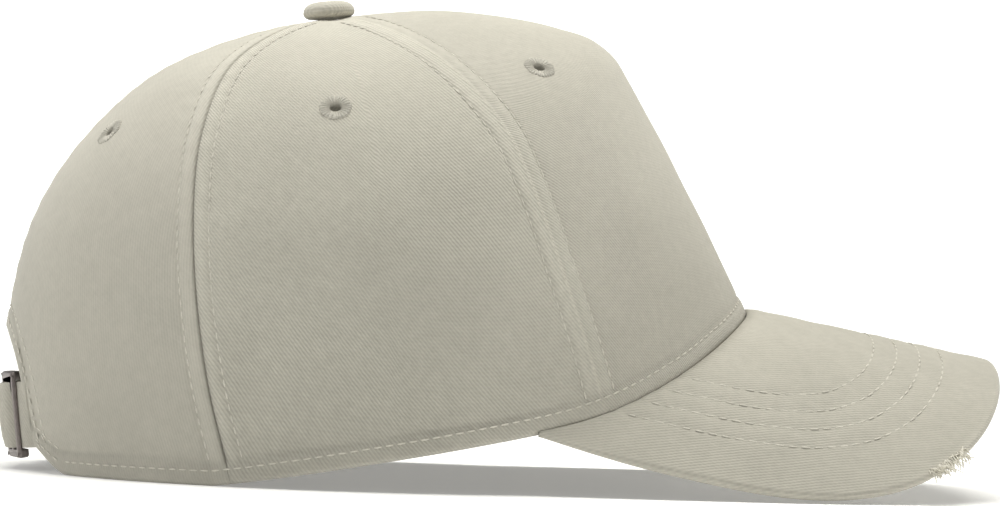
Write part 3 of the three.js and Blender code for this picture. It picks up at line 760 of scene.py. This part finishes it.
def wrap_peak(s, r):
    share = 1 - 2 * s
    bearing = share * PEAK_END_BEARING
    taper = smooth_step(np.abs(share), PEAK_FULL_SHARE, 1)
    thickness = PEAK_THICKNESS + (PEAK_END_THICKNESS - PEAK_THICKNESS) * taper
    rim = cloth_point(bearing, np.zeros_like(bearing), np.full_like(bearing, hem_step + 0.35 * MM))
    inner_x = rim[:, 0] - rim_middle_x
    inner_y = rim[:, 1]
    edge_x, edge_y = peak_edge_plan(share)
    reach = np.hypot(edge_x - inner_x, edge_y - inner_y)
    inset = np.minimum(thickness / 2, reach * INSET_LIMIT) / np.maximum(reach, 1e-6)
    on_top = r <= TOP_SHARE
    under = r >= EDGE_SHARE
    out_share = np.where(on_top, r / TOP_SHARE, np.where(under, (1 - r) / (1 - EDGE_SHARE), 1.0))
    out_share = out_share * (1 - inset)
    x = inner_x + (edge_x - inner_x) * out_share
    y = inner_y + (edge_y - inner_y) * out_share
    normal = peak_normal(y)
    fall = peak_top(edge_x, edge_y) - peak_top(inner_x, inner_y)
    outward = unit(np.stack([edge_x - inner_x, edge_y - inner_y, fall], axis=-1))
    turn = np.clip((r - TOP_SHARE) / (EDGE_SHARE - TOP_SHARE), 0, 1) * np.pi
    half = (thickness / 2)[:, None]
    centre = peak_board(x, y) - normal * half
    bulge = outward * np.sin(turn)[:, None] * np.minimum(half, (reach * INSET_LIMIT)[:, None])
    face_places = centre + normal * half * np.cos(turn)[:, None] + bulge
    from_edge = distance_from_edge(x, y)
    along = share * EDGE_RUN
    fray = fray_mask(x, y, from_edge)
    relief = stitched_relief(from_edge, along) * np.where(on_top | under, 1.0, 0.3)
    relief = relief - fray * (0.25 + 0.25 * np.sin(x / (0.5 * MM)) * np.sin(y / (0.7 * MM))) * MM
    relief = relief - 0.5 * MM * bell(out_share, 0, 0.02) * on_top
    side = np.where(under, -1.0, np.cos(turn))[:, None]
    lift = unit(normal * side + outward * np.sin(turn)[:, None] * (~on_top & ~under)[:, None])
    uv = flatten(x, y) + outward[:, :2] * half * turn[:, None]
    edge_wear = 0.22 * (1 - smooth_step(from_edge, 0.2 * MM, 2.2 * MM))
    # The pale fray and rubbed edge are wear; the darker strip at the inner edge, where the peak meets the
    # crown, is painted shade.
    wear_and_shade = 0.9 * fray + edge_wear - 0.5 * bell(out_share, 0, 0.025)
    return face_places + lift * relief[:, None], uv, wear_and_shade


def close_wrap(bm, columns):
    """Bridges the inner edges of the top and the underside, then fills the two ends."""
    bm.verts.ensure_lookup_table()
    inner = set(bm.verts[: columns + 1]) | set(bm.verts[-columns - 1 :])
    rows = [edge for edge in bm.edges if edge.is_boundary and inner.issuperset(edge.verts)]
    bmesh.ops.bridge_loops(bm, edges=rows)
    ends = [edge for edge in bm.edges if edge.is_boundary]
    bmesh.ops.holes_fill(bm, edges=ends, sides=0)
    bmesh.ops.recalc_face_normals(bm, faces=bm.faces)
    print("open edges left on the peak:", sum(edge.is_boundary for edge in bm.edges))
    return bm


PEAK_COLUMNS = 260
WRAP_ROWS = 110
peak_grid = lay_grid(PEAK_COLUMNS, WRAP_ROWS, wrap_peak)
peak_cloth = new_object("peak_cloth", close_wrap(peak_grid, PEAK_COLUMNS))
finish_piece(peak_cloth, ["peak"], peak_twill)

# %% [markdown]
# Stitches show all over a cap, and they are what tells a sewn hat from a moulded one. Each is a short
# length of thread that dips into the cloth at both ends. One small rounded bead, stretched along the seam
# and repeated, stands for it, with just enough faces to shade well.

# %% Sewing a row of stitches
STITCH_WIDTH = 0.55 * MM
STITCH_HEIGHT = 0.28 * MM
STITCH_LIFT = 0.09 * MM
LONG_PITCH = 3.6 * MM


def even_places(path, normals, pitch):
    """Middles, directions and normals at an even pitch along a path."""
    steps = np.linalg.norm(np.diff(path, axis=0), axis=1)
    run = np.concatenate([[0], np.cumsum(steps)])
    count = max(1, int(run[-1] / pitch))
    marks = (np.arange(count) + 0.5) * run[-1] / count
    middles = np.stack([np.interp(marks, run, path[:, k]) for k in range(3)], axis=-1)
    ahead = np.stack([np.interp(marks + pitch / 4, run, path[:, k]) for k in range(3)], axis=-1)
    behind = np.stack([np.interp(marks - pitch / 4, run, path[:, k]) for k in range(3)], axis=-1)
    ups = unit(np.stack([np.interp(marks, run, normals[:, k]) for k in range(3)], axis=-1))
    return middles, unit(ahead - behind), ups


def sew(bm, path, normals, pitch=STITCH_PITCH, cover=0.74):
    for middle, ahead, up in zip(*even_places(path, normals, pitch)):
        side = np.cross(up, ahead)
        axes = Matrix([ahead, side, np.cross(ahead, side)]).transposed().to_4x4()
        size = Matrix.Diagonal((pitch * cover / 2, STITCH_WIDTH / 2, STITCH_HEIGHT / 2, 1))
        stand = Matrix.Translation(middle) @ axes @ size
        bmesh.ops.create_icosphere(bm, subdivisions=2, radius=1, matrix=stand)


def finish_stitches(name, bm):
    for face in bm.faces:
        face.smooth = True
    finish_piece(new_object(name, bm), [], sewing_thread)


def on_cloth(bearing, up, above, lift=STITCH_LIFT):
    """A path that lies on the relief of the crown's cloth, and its normals."""
    offset, _ = crown_relief(bearing, up, above + np.zeros_like(up))
    return cloth_point(bearing, up, offset + lift), crown_normal(bearing, up)


def seam_path(which, side, away, low, high):
    """A path up the crown beside a seam, a distance away from it, on the right (1) or the left (-1)."""
    up = np.linspace(low, high, 240)
    seam = seam_bearing(which, up)
    bearing = side * (seam + away / degree_length(seam, up))
    return on_cloth(bearing, up, 9 * MM)


SEAM_ROW_STARTS = {"front": 0.035, "rear": 0.03}
SEAM_ROW_END = 0.93
BACK_ROW_END = 0.92
seam_threads = bmesh.new()
for which, start in SEAM_ROW_STARTS.items():
    for side in (1, -1):
        for away in (-ROW_FROM_SEAM, ROW_FROM_SEAM):
            sew(seam_threads, *seam_path(which, side, away, start, SEAM_ROW_END))
back_row_start = float(up_at_height(178.0, OPENING_HEIGHT + 6 * MM))
for away in (-ROW_FROM_SEAM, ROW_FROM_SEAM):
    sew(seam_threads, *seam_path("back", 1, away, back_row_start, BACK_ROW_END))
finish_stitches("seam_stitches", seam_threads)

# %% Rows round the rim and the opening
RIM_ROW_END = 149.0
OPENING_ROWS = (3.2 * MM, 6.5 * MM)
rim_threads = bmesh.new()
bearing = np.linspace(-RIM_ROW_END, RIM_ROW_END, 900)
up = rim_row_height(bearing) / rise_length(bearing, np.zeros_like(bearing))
sew(rim_threads, *on_cloth(bearing, up, rim_row_height(bearing), 2 * STITCH_LIFT))


def inside_opening(inset):
    """A path round the back opening, a distance in from its edge."""
    s = np.linspace(RIM_SHARE + 0.03, 1, 260)
    bearing, up = opening_edge(s)
    edge = np.stack([bearing, up], axis=-1)
    step = np.gradient(edge, axis=0)
    scale = np.stack([degree_length(bearing, up), rise_length(bearing, up)], axis=-1)
    along = step * scale
    off = unit(np.stack([-along[:, 1], along[:, 0]], axis=-1)) * inset / scale
    right = edge + off
    whole = np.concatenate([right, (right * [-1, 1] + [360, 0])[::-1]])
    return whole[:, 0], whole[:, 1]


for inset in OPENING_ROWS:
    bearing, up = inside_opening(inset)
    sew(rim_threads, *on_cloth(bearing, np.clip(up, 0.015, 1), inset))
finish_stitches("rim_stitches", rim_threads)


# %% Four rows on the peak, through to its underside
ROW_CLEAR_OF_RIM = 1.03
ROW_END_MARGIN = 2


def peak_row(from_edge, under):
    inward = np.gradient(flat_edge, axis=0)
    inward = unit(np.stack([-inward[:, 1], inward[:, 0]], axis=-1))
    if inward[len(inward) // 2, 0] > 0:
        inward = -inward
    x, y = unflatten(flat_edge + inward * from_edge)
    turn = np.degrees(np.arctan2(-y / rim_half_width, x / rim_front_reach))
    outside = np.hypot(x / rim_front_reach, y / rim_half_width) > ROW_CLEAR_OF_RIM
    shown = outside & (np.abs(turn) < PEAK_END_BEARING - ROW_END_MARGIN)
    x, y = x[shown], y[shown]
    normal = peak_normal(y)
    if under:
        return peak_board(x, y) - normal * (PEAK_THICKNESS - 0.02 * MM), -normal
    return peak_board(x, y) - normal * 0.04 * MM, normal


peak_threads = bmesh.new()
for row in PEAK_ROWS:
    for under in (False, True):
        sew(peak_threads, *peak_row(row, under), pitch=LONG_PITCH)
finish_stitches("peak_stitches", peak_threads)

# %% [markdown]
# The six vents are eyelets worked in thread: a ring of tight stitches that all point at a small hole. A
# ring is a profile spun round an axis, and a wave round it, in height and in reach, gives the ridges of the
# separate threads.

# %% Embroidered eyelets
EYELET_OUTER = 4.3 * MM
EYELET_BORE = 1.6 * MM
EYELET_HEIGHT = 0.58 * MM
EYELET_THREADS = 27
EYELET_BENDS = 10


def spin_profile(bm, profile, steps):
    """Spins a profile of (radius, height) pairs round the Z axis and closes it."""
    verts = [bm.verts.new((radius, 0, height)) for radius, height in profile]
    edges = [bm.edges.new(pair) for pair in zip(verts, verts[1:])]
    turn = {"axis": (0, 0, 1), "cent": (0, 0, 0), "angle": 2 * math.pi, "steps": steps}
    bmesh.ops.spin(bm, geom=verts + edges, use_merge=True, use_duplicate=False, **turn)
    bmesh.ops.remove_doubles(bm, verts=bm.verts, dist=1e-7)
    bmesh.ops.recalc_face_normals(bm, faces=bm.faces)


def stand_on_cloth(bearing, up):
    """The transform that stands a Z-up shape on the relief of the crown's cloth."""
    seat, normal = on_cloth(np.array([bearing]), np.array([up]), 1.0)
    turn = Vector(normal[0]).to_track_quat("Z", "Y").to_matrix()
    return Matrix.Translation(seat[0]) @ turn.to_4x4()


def eyelet_mesh():
    ring = (EYELET_OUTER + EYELET_BORE) / 2
    half = (EYELET_OUTER - EYELET_BORE) / 2
    profile = [(EYELET_BORE, -wall)]
    for k in range(EYELET_BENDS + 1):
        turn = math.pi * (1 - k / EYELET_BENDS)
        lean = 0.5 - 0.5 * math.cos(turn)
        height = -0.35 * MM + EYELET_HEIGHT * math.sin(turn) ** 0.6 * (1.15 - 0.4 * lean)
        profile.append((ring + half * math.cos(turn), height))
    profile.append((EYELET_OUTER - 0.5 * MM, -0.7 * MM))
    profile.append((EYELET_BORE + 0.8 * MM, -0.9 * MM))
    profile.append((EYELET_BORE + 0.8 * MM, -wall))
    bm = bmesh.new()
    spin_profile(bm, profile + profile[:1], 6 * EYELET_THREADS)
    for vert in bm.verts:
        if vert.co.z < -0.3 * MM:
            continue
        angle = math.atan2(vert.co.y, vert.co.x)
        ridge = abs(math.cos(0.5 * EYELET_THREADS * angle + 0.5 * math.sin(5 * angle)))
        radius = math.hypot(vert.co.x, vert.co.y)
        out_share = (radius - EYELET_BORE) / EYELET_OUTER
        ragged = 1 + (0.05 * math.sin(7 * angle) + 0.09 * (ridge - 0.6)) * out_share
        vert.co.x *= ragged
        vert.co.y *= ragged
        vert.co.z += 0.34 * MM * (ridge - 0.75)
    return bm


for panel, bearing, up in VENTS:
    for side, word in ((1, "right"), (-1, "left")):
        bm = eyelet_mesh()
        bmesh.ops.transform(bm, matrix=stand_on_cloth(side * bearing, up), verts=bm.verts)
        eyelet = new_object(f"eyelet_{panel}_{word}_embroidery", bm)
        finish_piece(eyelet, [f"eyelet_{panel}_{word}"], embroidery)

# %% [markdown]
# The button is a tin shell covered in the cap's cloth, which gathers in faint rings and pleats as it is
# pulled over the edge. It is a spun dome, and it tilts a little with the top of the crown.

# %% Covered button
BUTTON_RADIUS = 7.1 * MM
BUTTON_HEIGHT = 5.2 * MM
BUTTON_SINK = 0.5 * MM
BUTTON_RINGS = 40
BUTTON_LOW_SHARE = 0.36
BUTTON_WIDEST = 0.42
SHANK_RADIUS = 2.0 * MM
SHANK_DEPTH = 2.2 * MM
ROUND_STEPS = 96
button_seat = Vector(crown_point(0.0, 1.0)) - Vector((0, 0, BUTTON_SINK))
top_line = Vector(crown_point(0.0, 0.95)) - Vector(crown_point(180.0, 0.95))
button_axis = Vector((-0.6 * top_line.z, 0, top_line.x)).normalized()


def button_mesh():
    profile = [(0.0, -SHANK_DEPTH), (SHANK_RADIUS, -SHANK_DEPTH), (SHANK_RADIUS, 0.1 * MM)]
    middle = BUTTON_HEIGHT * BUTTON_WIDEST
    for k in range(BUTTON_RINGS + 1):
        turn = math.pi / 2 * (k / BUTTON_RINGS - BUTTON_LOW_SHARE) / (1 - BUTTON_LOW_SHARE)
        gather = 1 + 0.006 * math.sin(k * 1.35)
        radius = BUTTON_RADIUS * math.cos(turn) ** 0.55 * gather if k < BUTTON_RINGS else 0.0
        reach = BUTTON_HEIGHT - middle if turn > 0 else middle
        profile.append((radius, middle + reach * math.sin(turn)))
    bm = bmesh.new()
    spin_profile(bm, profile, ROUND_STEPS)
    for vert in bm.verts:
        angle = math.atan2(vert.co.y, vert.co.x)
        low = smooth_step(-vert.co.z, -3.4 * MM, -0.6 * MM)
        pleat = 1 + 0.022 * low * math.sin(14 * angle + 1.3 * math.sin(3 * angle))
        vert.co.x *= pleat
        vert.co.y *= pleat
    return bm


def unwrap_from_above(bm):
    """UVs in metres for a small rounded piece, seen from above."""
    uv_layer = bm.loops.layers.uv.new("cloth")
    for face in bm.faces:
        for loop in face.loops:
            loop[uv_layer].uv = (loop.vert.co.x, loop.vert.co.y)


bm = button_mesh()
unwrap_from_above(bm)
tilt = button_axis.to_track_quat("Z", "Y").to_matrix().to_4x4()
bmesh.ops.transform(bm, matrix=Matrix.Translation(button_seat) @ tilt, verts=bm.verts)
finish_piece(new_object("button_cloth", bm), ["button"], trim_twill)

# %% [markdown]
# Inside the rim runs the sweatband, a doubled strip of the same cloth that is sewn in by the row of
# stitches round the rim. It stands free of the crown above that row, so it is a grid of its own with a
# wall's thickness, and a row of stitches holds its top fold.

# %% Sweatband
BAND_HEIGHT = 30 * MM
BAND_WALL = 1.5 * MM
BAND_OFFSET = -(wall + 0.6 * MM)
BAND_START = 1.2 * MM
BAND_RUN = BAND_HEIGHT - 0.6 * MM
BAND_ROW_SHARE = 0.88
band_end = float(bearing_across(OPENING_HALF_WIDTH + OPENING_FLARE + 2.5 * MM))


def band_up(bearing, share):
    """Share of the way up the crown that lies beside a share of the band's height."""
    rise = rise_length(np.full_like(bearing, 90.0), np.zeros_like(bearing))
    return (BAND_START + BAND_RUN * share) / rise


def band_place(s, r):
    bearing = (1 - 2 * s) * band_end
    up = band_up(bearing, r)
    ease = 0.25 * MM * np.sin(bearing * 0.21 + 3 * np.sin(bearing * 0.05)) * r
    dip = -0.25 * MM * bell(r, BAND_ROW_SHARE, 0.02)
    uv = np.stack([bearing / 180 * 260 * MM, r * BAND_HEIGHT], axis=-1)
    return cloth_point(bearing, up, BAND_OFFSET - 0.2 * MM - np.abs(ease) + dip), uv, 0.25 * bell(r, 1, 0.03)


band = new_object("sweatband_cloth", lay_grid(360, 26, band_place))
thicken(band, BAND_WALL - 0.3 * MM)
finish_piece(band, ["sweatband"], trim_twill)

band_threads = bmesh.new()
bearing = np.linspace(-band_end + 1, band_end - 1, 700)
up = band_up(bearing, BAND_ROW_SHARE)
inner_face = cloth_point(bearing, up, np.full_like(bearing, BAND_OFFSET - BAND_WALL + 0.1 * MM))
sew(band_threads, inner_face, -crown_normal(bearing, up), pitch=LONG_PITCH)
finish_stitches("sweatband_stitches", band_threads)

# %% [markdown]
# The cap closes at the back with a strap that comes from the wearer's right, goes under, over and under
# the bars of a slide buckle, and ends behind it. The buckle hangs on a short tab from the left. Strap and
# tab are strips that follow a smooth line through a few points beside the crown's plan. Both lean with the
# back of the crown.

# %% The line of the strap
STRAP_WIDTH = 18 * MM
STRAP_THICKNESS = 0.9 * MM
TAB_THICKNESS = 0.8 * MM
STRAP_LEAN = math.radians(-7)
BUCKLE_ACROSS = -12.5 * MM
BUCKLE_PROUD = -0.1 * MM
BUCKLE_PLATE = 1.2 * MM
BUCKLE_STEP = 7.5 * MM
TAIL_END = 13 * MM
strap_middle_z = 5.4 * MM + STRAP_WIDTH / 2
strap_up = float(up_at_height(180.0, strap_middle_z))
strap_pivot = Vector((float(crown_point(180.0, strap_up)[0]), 0, strap_middle_z + rim_lift))
strap_side = float(read_table(SECTIONS, strap_up)[3]) * rim_half_width


def back_plan(across, offset):
    """A place in plan beside the back of the crown at the height of the strap."""
    bearing = math.degrees(math.asin(across / strap_side)) - 180
    out = Vector(crown_normal(np.float64(bearing), np.float64(strap_up)))
    out.z = 0
    place = Vector(crown_point(bearing, strap_up)) + out.normalized() * offset
    return Vector((place.x, place.y, 0))


def smooth_line(points, per_span=12):
    """A Catmull-Rom curve through the points."""
    ends = [points[0] * 2 - points[1]] + points + [points[-1] * 2 - points[-2]]
    line = []
    for a, b, c, d in zip(ends, ends[1:], ends[2:], ends[3:]):
        for k in range(per_span):
            s = k / per_span
            square = (2 * a - 5 * b + 4 * c - d) * s**2
            cube = (3 * b - a - 3 * c + d) * s**3
            line.append(0.5 * (2 * b + (c - a) * s + square + cube))
    return line + [points[-1]]


over_bar = BUCKLE_PLATE / 2 + 0.1 * MM + TAB_THICKNESS / 2
strap_over = BUCKLE_PROUD + over_bar + TAB_THICKNESS / 2 + 0.1 * MM + STRAP_THICKNESS / 2
strap_under = BUCKLE_PROUD - BUCKLE_PLATE / 2 - 0.35 * MM - STRAP_THICKNESS / 2
strap_inside = -wall - 0.9 * MM - STRAP_THICKNESS / 2
right_slot = BUCKLE_ACROSS - BUCKLE_STEP
left_slot = BUCKLE_ACROSS + BUCKLE_STEP
strap_route = [
    (-OPENING_HALF_WIDTH - 8 * MM, strap_inside),
    (-OPENING_HALF_WIDTH, strap_inside),
    (-OPENING_HALF_WIDTH + 3.5 * MM, strap_inside),
    (right_slot - 3.0 * MM, strap_under - 0.6 * MM),
    (right_slot, strap_under),
    (right_slot + 2.6 * MM, strap_under + 0.6 * MM),
    (BUCKLE_ACROSS - 2.9 * MM, strap_over - 0.9 * MM),
    (BUCKLE_ACROSS, strap_over),
    (BUCKLE_ACROSS + 2.9 * MM, strap_over - 0.9 * MM),
    (left_slot - 2.6 * MM, strap_under + 0.6 * MM),
    (left_slot, strap_under),
    (left_slot + 3.2 * MM, strap_under - 0.1 * MM),
    (TAIL_END, strap_under + 0.2 * MM),
]
tab_inside = -wall - 0.9 * MM - TAB_THICKNESS / 2
tab_layer = strap_under - STRAP_THICKNESS / 2 - 0.35 * MM - TAB_THICKNESS / 2
tab_route = [
    (OPENING_HALF_WIDTH + 8 * MM, tab_inside),
    (OPENING_HALF_WIDTH, tab_inside),
    (OPENING_HALF_WIDTH - 3.5 * MM, tab_inside),
    (TAIL_END, tab_layer - 0.2 * MM),
    (left_slot + 2 * MM, tab_layer),
    (left_slot - 3.1 * MM, tab_layer + 0.2 * MM),
]
bar_reach = 2.0 * MM
bar_wrap = [
    (0.9, 0.25),
    (0.85, 0.8),
    (0.4, 1.0),
    (-0.4, 1.0),
    (-0.85, 0.8),
    (-1.0, 0.0),
    (-0.85, -0.8),
    (-0.4, -1.0),
]
tab_route += [(BUCKLE_ACROSS + across * bar_reach, BUCKLE_PROUD + out * over_bar) for across, out in bar_wrap]
tab_route += [
    (left_slot - 3.3 * MM, tab_layer - 1.55 * MM),
    (left_slot + 2 * MM, tab_layer - 1.35 * MM),
    (left_slot + 8 * MM, tab_layer - 1.35 * MM),
]


# %% Make the strap and the tab
def strip_mesh(route, thickness):
    """A strip of cloth on edge along a route, with soft long edges."""
    line = smooth_line([back_plan(across, offset) for across, offset in route])
    count = len(line)
    bm = bmesh.new()
    bmesh.ops.create_grid(bm, x_segments=count - 1, y_segments=22, size=1)
    flat = [(v.co.x * 0.5 + 0.5, v.co.y * 0.5 + 0.5) for v in bm.verts]
    run = [0.0]
    for a, b in zip(line, line[1:]):
        run.append(run[-1] + (b - a).length)
    uv_layer = bm.loops.layers.uv.new("cloth")
    uvs = {}
    for vert, (s, r) in zip(bm.verts, flat):
        k = round(s * (count - 1))
        ahead = (line[min(k + 1, count - 1)] - line[max(k - 1, 0)]).normalized()
        side = Vector((-ahead.y, ahead.x, 0))
        edge = min(r, 1 - r) * STRAP_WIDTH
        dent = -0.12 * MM * bell(edge, 2.0 * MM, 0.5 * MM)
        bulge = 0.9 * MM * abs(2 * r - 1) ** 3 * bell(line[k].y, BUCKLE_ACROSS, 5 * MM)
        out = side * (thickness / 2 + dent - bulge)
        vert.co = line[k] + out + Vector((0, 0, (r - 0.5) * (STRAP_WIDTH - 0.8 * bulge)))
        uvs[vert] = (run[k], r * STRAP_WIDTH)
    for face in bm.faces:
        for loop in face.loops:
            loop[uv_layer].uv = uvs[loop.vert]
    return bm


def lean_back(bm):
    lean = Matrix.Translation(strap_pivot) @ Matrix.Rotation(STRAP_LEAN, 4, "Y")
    move = Matrix.Translation((-strap_pivot.x, 0, 0))
    bmesh.ops.transform(bm, matrix=lean @ move, verts=bm.verts)
    return bm


def finish_strip(name, node, route, thickness):
    strip = new_object(name, lean_back(strip_mesh(route, thickness)))
    thicken(strip, thickness)
    rounding = strip.modifiers.new("soft edges", "BEVEL")
    rounding.width = 0.3 * MM
    rounding.segments = 2
    rounding.limit_method = "ANGLE"
    finish_piece(strip, [node], trim_twill)


finish_strip("adjusting_strap_cloth", "adjusting_strap", strap_route, STRAP_THICKNESS)
finish_strip("buckle_tab_cloth", "buckle_tab", tab_route, TAB_THICKNESS)

# %% [markdown]
# The slide buckle is cast metal with softened edges. Its CAD solid has the right form with sharp edges, so
# a merged copy is cleaned and bevelled. The finish is dull and darkened, lighter in random patches.

# %% Buckle
METAL_DARK = (0.12, 0.105, 0.10, 1)
METAL_LIGHT = (0.36, 0.32, 0.31, 1)
RAIL_ROUNDING = 0.75 * MM
EDGE_ROUNDING = 0.25 * MM


def antique_metal():
    shader = Shader("antique_metal")
    patch = shader.noise(380.0, 4.0)
    grain = shader.noise(2200.0)
    return shader.finish({
        "Base Color": shader.blend(patch, METAL_DARK, METAL_LIGHT),
        "Metallic": 0.85,
        "Roughness": 0.34 + patch * 0.25,
        "Normal": shader.bump(grain, 0.25, 0.05 * MM),
    })


def round_over(bm, edges, width, segments):
    bmesh.ops.bevel(bm, geom=edges, offset=width, affect="EDGES", segments=segments, profile=0.5, material=-1)


bm = bmesh.new()
bm.from_mesh(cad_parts["buckle"].data)
bmesh.ops.remove_doubles(bm, verts=bm.verts, dist=1e-6)
bmesh.ops.dissolve_limit(bm, angle_limit=math.radians(2), verts=bm.verts, edges=bm.edges)
upright = Matrix.Rotation(-STRAP_LEAN, 4, "Y") @ Matrix.Translation(-strap_pivot)
heights = {vert: (upright @ vert.co).z for vert in bm.verts}
reach = max(abs(height) for height in heights.values()) - 0.2 * MM
rails = [edge for edge in bm.edges if all(abs(heights[vert]) > reach for vert in edge.verts)]
round_over(bm, rails, RAIL_ROUNDING, 4)
sharp = [edge for edge in bm.edges if len(edge.link_faces) == 2 and edge.calc_face_angle() > math.radians(35)]
round_over(bm, sharp, EDGE_ROUNDING, 3)
print("buckle rails rounded over", len(rails), "edges")
finish_piece(new_object("buckle_metal", bm), ["buckle"], antique_metal())

# %% [markdown]
# On the near edge of the peak the twill is worn through, and its cut yarns stand out as short pale fibres.
# Each is a few points of a curve with the thickness of a yarn. They are seeded, so every run is the same.

# %% Frayed yarns
FRAY_YARNS = 150
YARN_BENDS = 4
YARN_RADIUS = 0.2 * MM
random = np.random.default_rng(7)
fibres = bpy.data.curves.new("frayed_yarns", "CURVE")
fibres.dimensions = "3D"
fibres.bevel_depth = YARN_RADIUS
fibres.bevel_resolution = 1
edge_shares = np.linspace(0.1, 0.7, 800)
edge_x, edge_y = peak_edge_plan(edge_shares)
for _ in range(FRAY_YARNS):
    x_mark = FRAY_X + FRAY_LENGTH * 0.36 * random.uniform(-1, 1)
    k = int(np.argmin(np.abs(edge_x - x_mark)))
    inset = random.uniform(-0.3, 1.7) * MM
    x, y = edge_x[k] - inset * 0.6, edge_y[k] + inset * 0.8
    start = Vector(peak_board(x, y)) + Vector((0, 0, 0.05 * MM))
    lean = Vector((0.5 + random.normal() * 0.5, -0.8 + random.normal() * 0.3, -0.7 + random.normal() * 0.3))
    lean.normalize()
    length = random.uniform(1.4, 3.0) * MM
    curl = Vector(random.normal(size=3)) * 0.22
    spline = fibres.splines.new("POLY")
    spline.points.add(YARN_BENDS)
    for j, point in enumerate(spline.points):
        s = j / YARN_BENDS
        point.co = (*(start + (lean + curl * s * s) * length * s), 1)
        point.radius = 1 - 0.5 * s
yarns = bpy.data.objects.new("frayed_yarns_curve", fibres)
mesh = bpy.data.meshes.new_from_object(yarns)
frayed = bpy.data.objects.new("frayed_yarns", mesh)
bpy.context.collection.objects.link(frayed)
bpy.data.objects.remove(yarns)
finish_piece(frayed, [], pale_yarn)

# %% [markdown]
# The stage is a pale floor that curves up into a wall all round, like a shallow bowl, so no horizon shows
# from any side. It glows faintly, so that the cap's shadow stays soft. A wide light high above and a
# smaller one over the cap give the photograph's bright top and darker side. Two low fills at the ends of
# the cap lift its outline from the paper, and a wash of light keeps the wall behind it white.

# %% Floor and backdrop
PAPER_DARK = (0.90, 0.90, 0.89, 1)
PAPER_LIGHT = (0.94, 0.94, 0.935, 1)
PAPER_GLOW = 0.22
FLOOR_RADIUS = 4.6
FLOOR_CURVE = 0.6
FLOOR_BENDS = 12


def plain_paper():
    shader = Shader("plain_paper")
    return shader.finish({
        "Base Color": shader.blend(shader.noise(3.0), PAPER_DARK, PAPER_LIGHT),
        "Roughness": 0.9,
        "Emission Color": (1, 1, 0.99, 1),
        "Emission Strength": PAPER_GLOW,
    })


outline = [(0.0, 0.0), (FLOOR_RADIUS, 0.0)]
for k in range(1, FLOOR_BENDS + 1):
    turn = math.pi / 2 * k / FLOOR_BENDS
    outline.append((FLOOR_RADIUS + FLOOR_CURVE * math.sin(turn), FLOOR_CURVE * (1 - math.cos(turn))))
bm = bmesh.new()
spin_profile(bm, outline, ROUND_STEPS)
floor = new_object("floor", bm)
floor.data.materials.append(plain_paper())


# %% Lights
def soft_light(name, place, target, size, power, tint=(1, 1, 1)):
    lamp = bpy.data.lights.new(name, "AREA")
    lamp.shape = "DISK"
    lamp.size = size
    lamp.energy = power
    lamp.color = tint
    holder = bpy.data.objects.new(name, lamp)
    holder.location = place
    holder.rotation_euler = (Vector(target) - Vector(place)).to_track_quat("-Z", "Y").to_euler()
    holder.visible_camera = False
    bpy.context.collection.objects.link(holder)


cap_middle = (0, 0, 0.06)
soft_light("key", (0, 1.0, 5.5), (0, 4.0, 1.0), 5.0, 155, (1, 0.985, 0.94))
soft_light("overhead", (0.07, 0.12, 1.2), cap_middle, 1.1, 13.8, (1, 0.985, 0.93))
soft_light("peak_side", (1.55, 0.0, 0.5), cap_middle, 1.0, 3.2, (1, 0.98, 0.93))
soft_light("buckle_side", (-1.5, 0.0, 0.8), cap_middle, 1.0, 5.0)
soft_light("wall_wash", (0, 2.8, 2.6), (0, 5.2, 0.2), 2.0, 80)

world = bpy.data.worlds.new("studio")
world.use_nodes = True
world.node_tree.nodes["Background"].inputs["Color"].default_value = (1, 1, 1, 1)
world.node_tree.nodes["Background"].inputs["Strength"].default_value = 0.19
bpy.context.scene.world = world
bpy.context.scene.view_settings.view_transform = "Standard"

# %% [markdown]
# The camera stands 1.2 m off on the cap's right, level with its middle. It looks 5 degrees forward of
# square, and it is rolled by the small angle that the photograph shows between the cap and the picture.

# %% Camera
CAMERA_DISTANCE = 1.2
CAMERA_YAW = math.radians(5)
CAMERA_ROLL = math.radians(1.9)
CAMERA_HEIGHT = 62.9 * MM
VIEW_WIDTH = 277.8 * MM
AIM_AHEAD = 33.3 * MM
SENSOR_WIDTH = 36

lens = bpy.data.cameras.new("camera")
lens.sensor_width = SENSOR_WIDTH
lens.lens = SENSOR_WIDTH * CAMERA_DISTANCE / VIEW_WIDTH
lens.clip_start = 0.05
camera = bpy.data.objects.new("camera", lens)
aim = Vector((rim_middle_x + AIM_AHEAD, 0, CAMERA_HEIGHT))
look = Vector((math.sin(CAMERA_YAW), math.cos(CAMERA_YAW), 0))
right = Vector((math.cos(CAMERA_YAW), -math.sin(CAMERA_YAW), 0))
rise = Vector((0, 0, 1))
rolled_right = right * math.cos(CAMERA_ROLL) + rise * math.sin(CAMERA_ROLL)
rolled_up = rise * math.cos(CAMERA_ROLL) - right * math.sin(CAMERA_ROLL)
camera_axes = Matrix([rolled_right, rolled_up, -look]).transposed().to_4x4()
camera.matrix_world = Matrix.Translation(aim - look * CAMERA_DISTANCE) @ camera_axes
bpy.context.collection.objects.link(camera)
bpy.context.scene.camera = camera
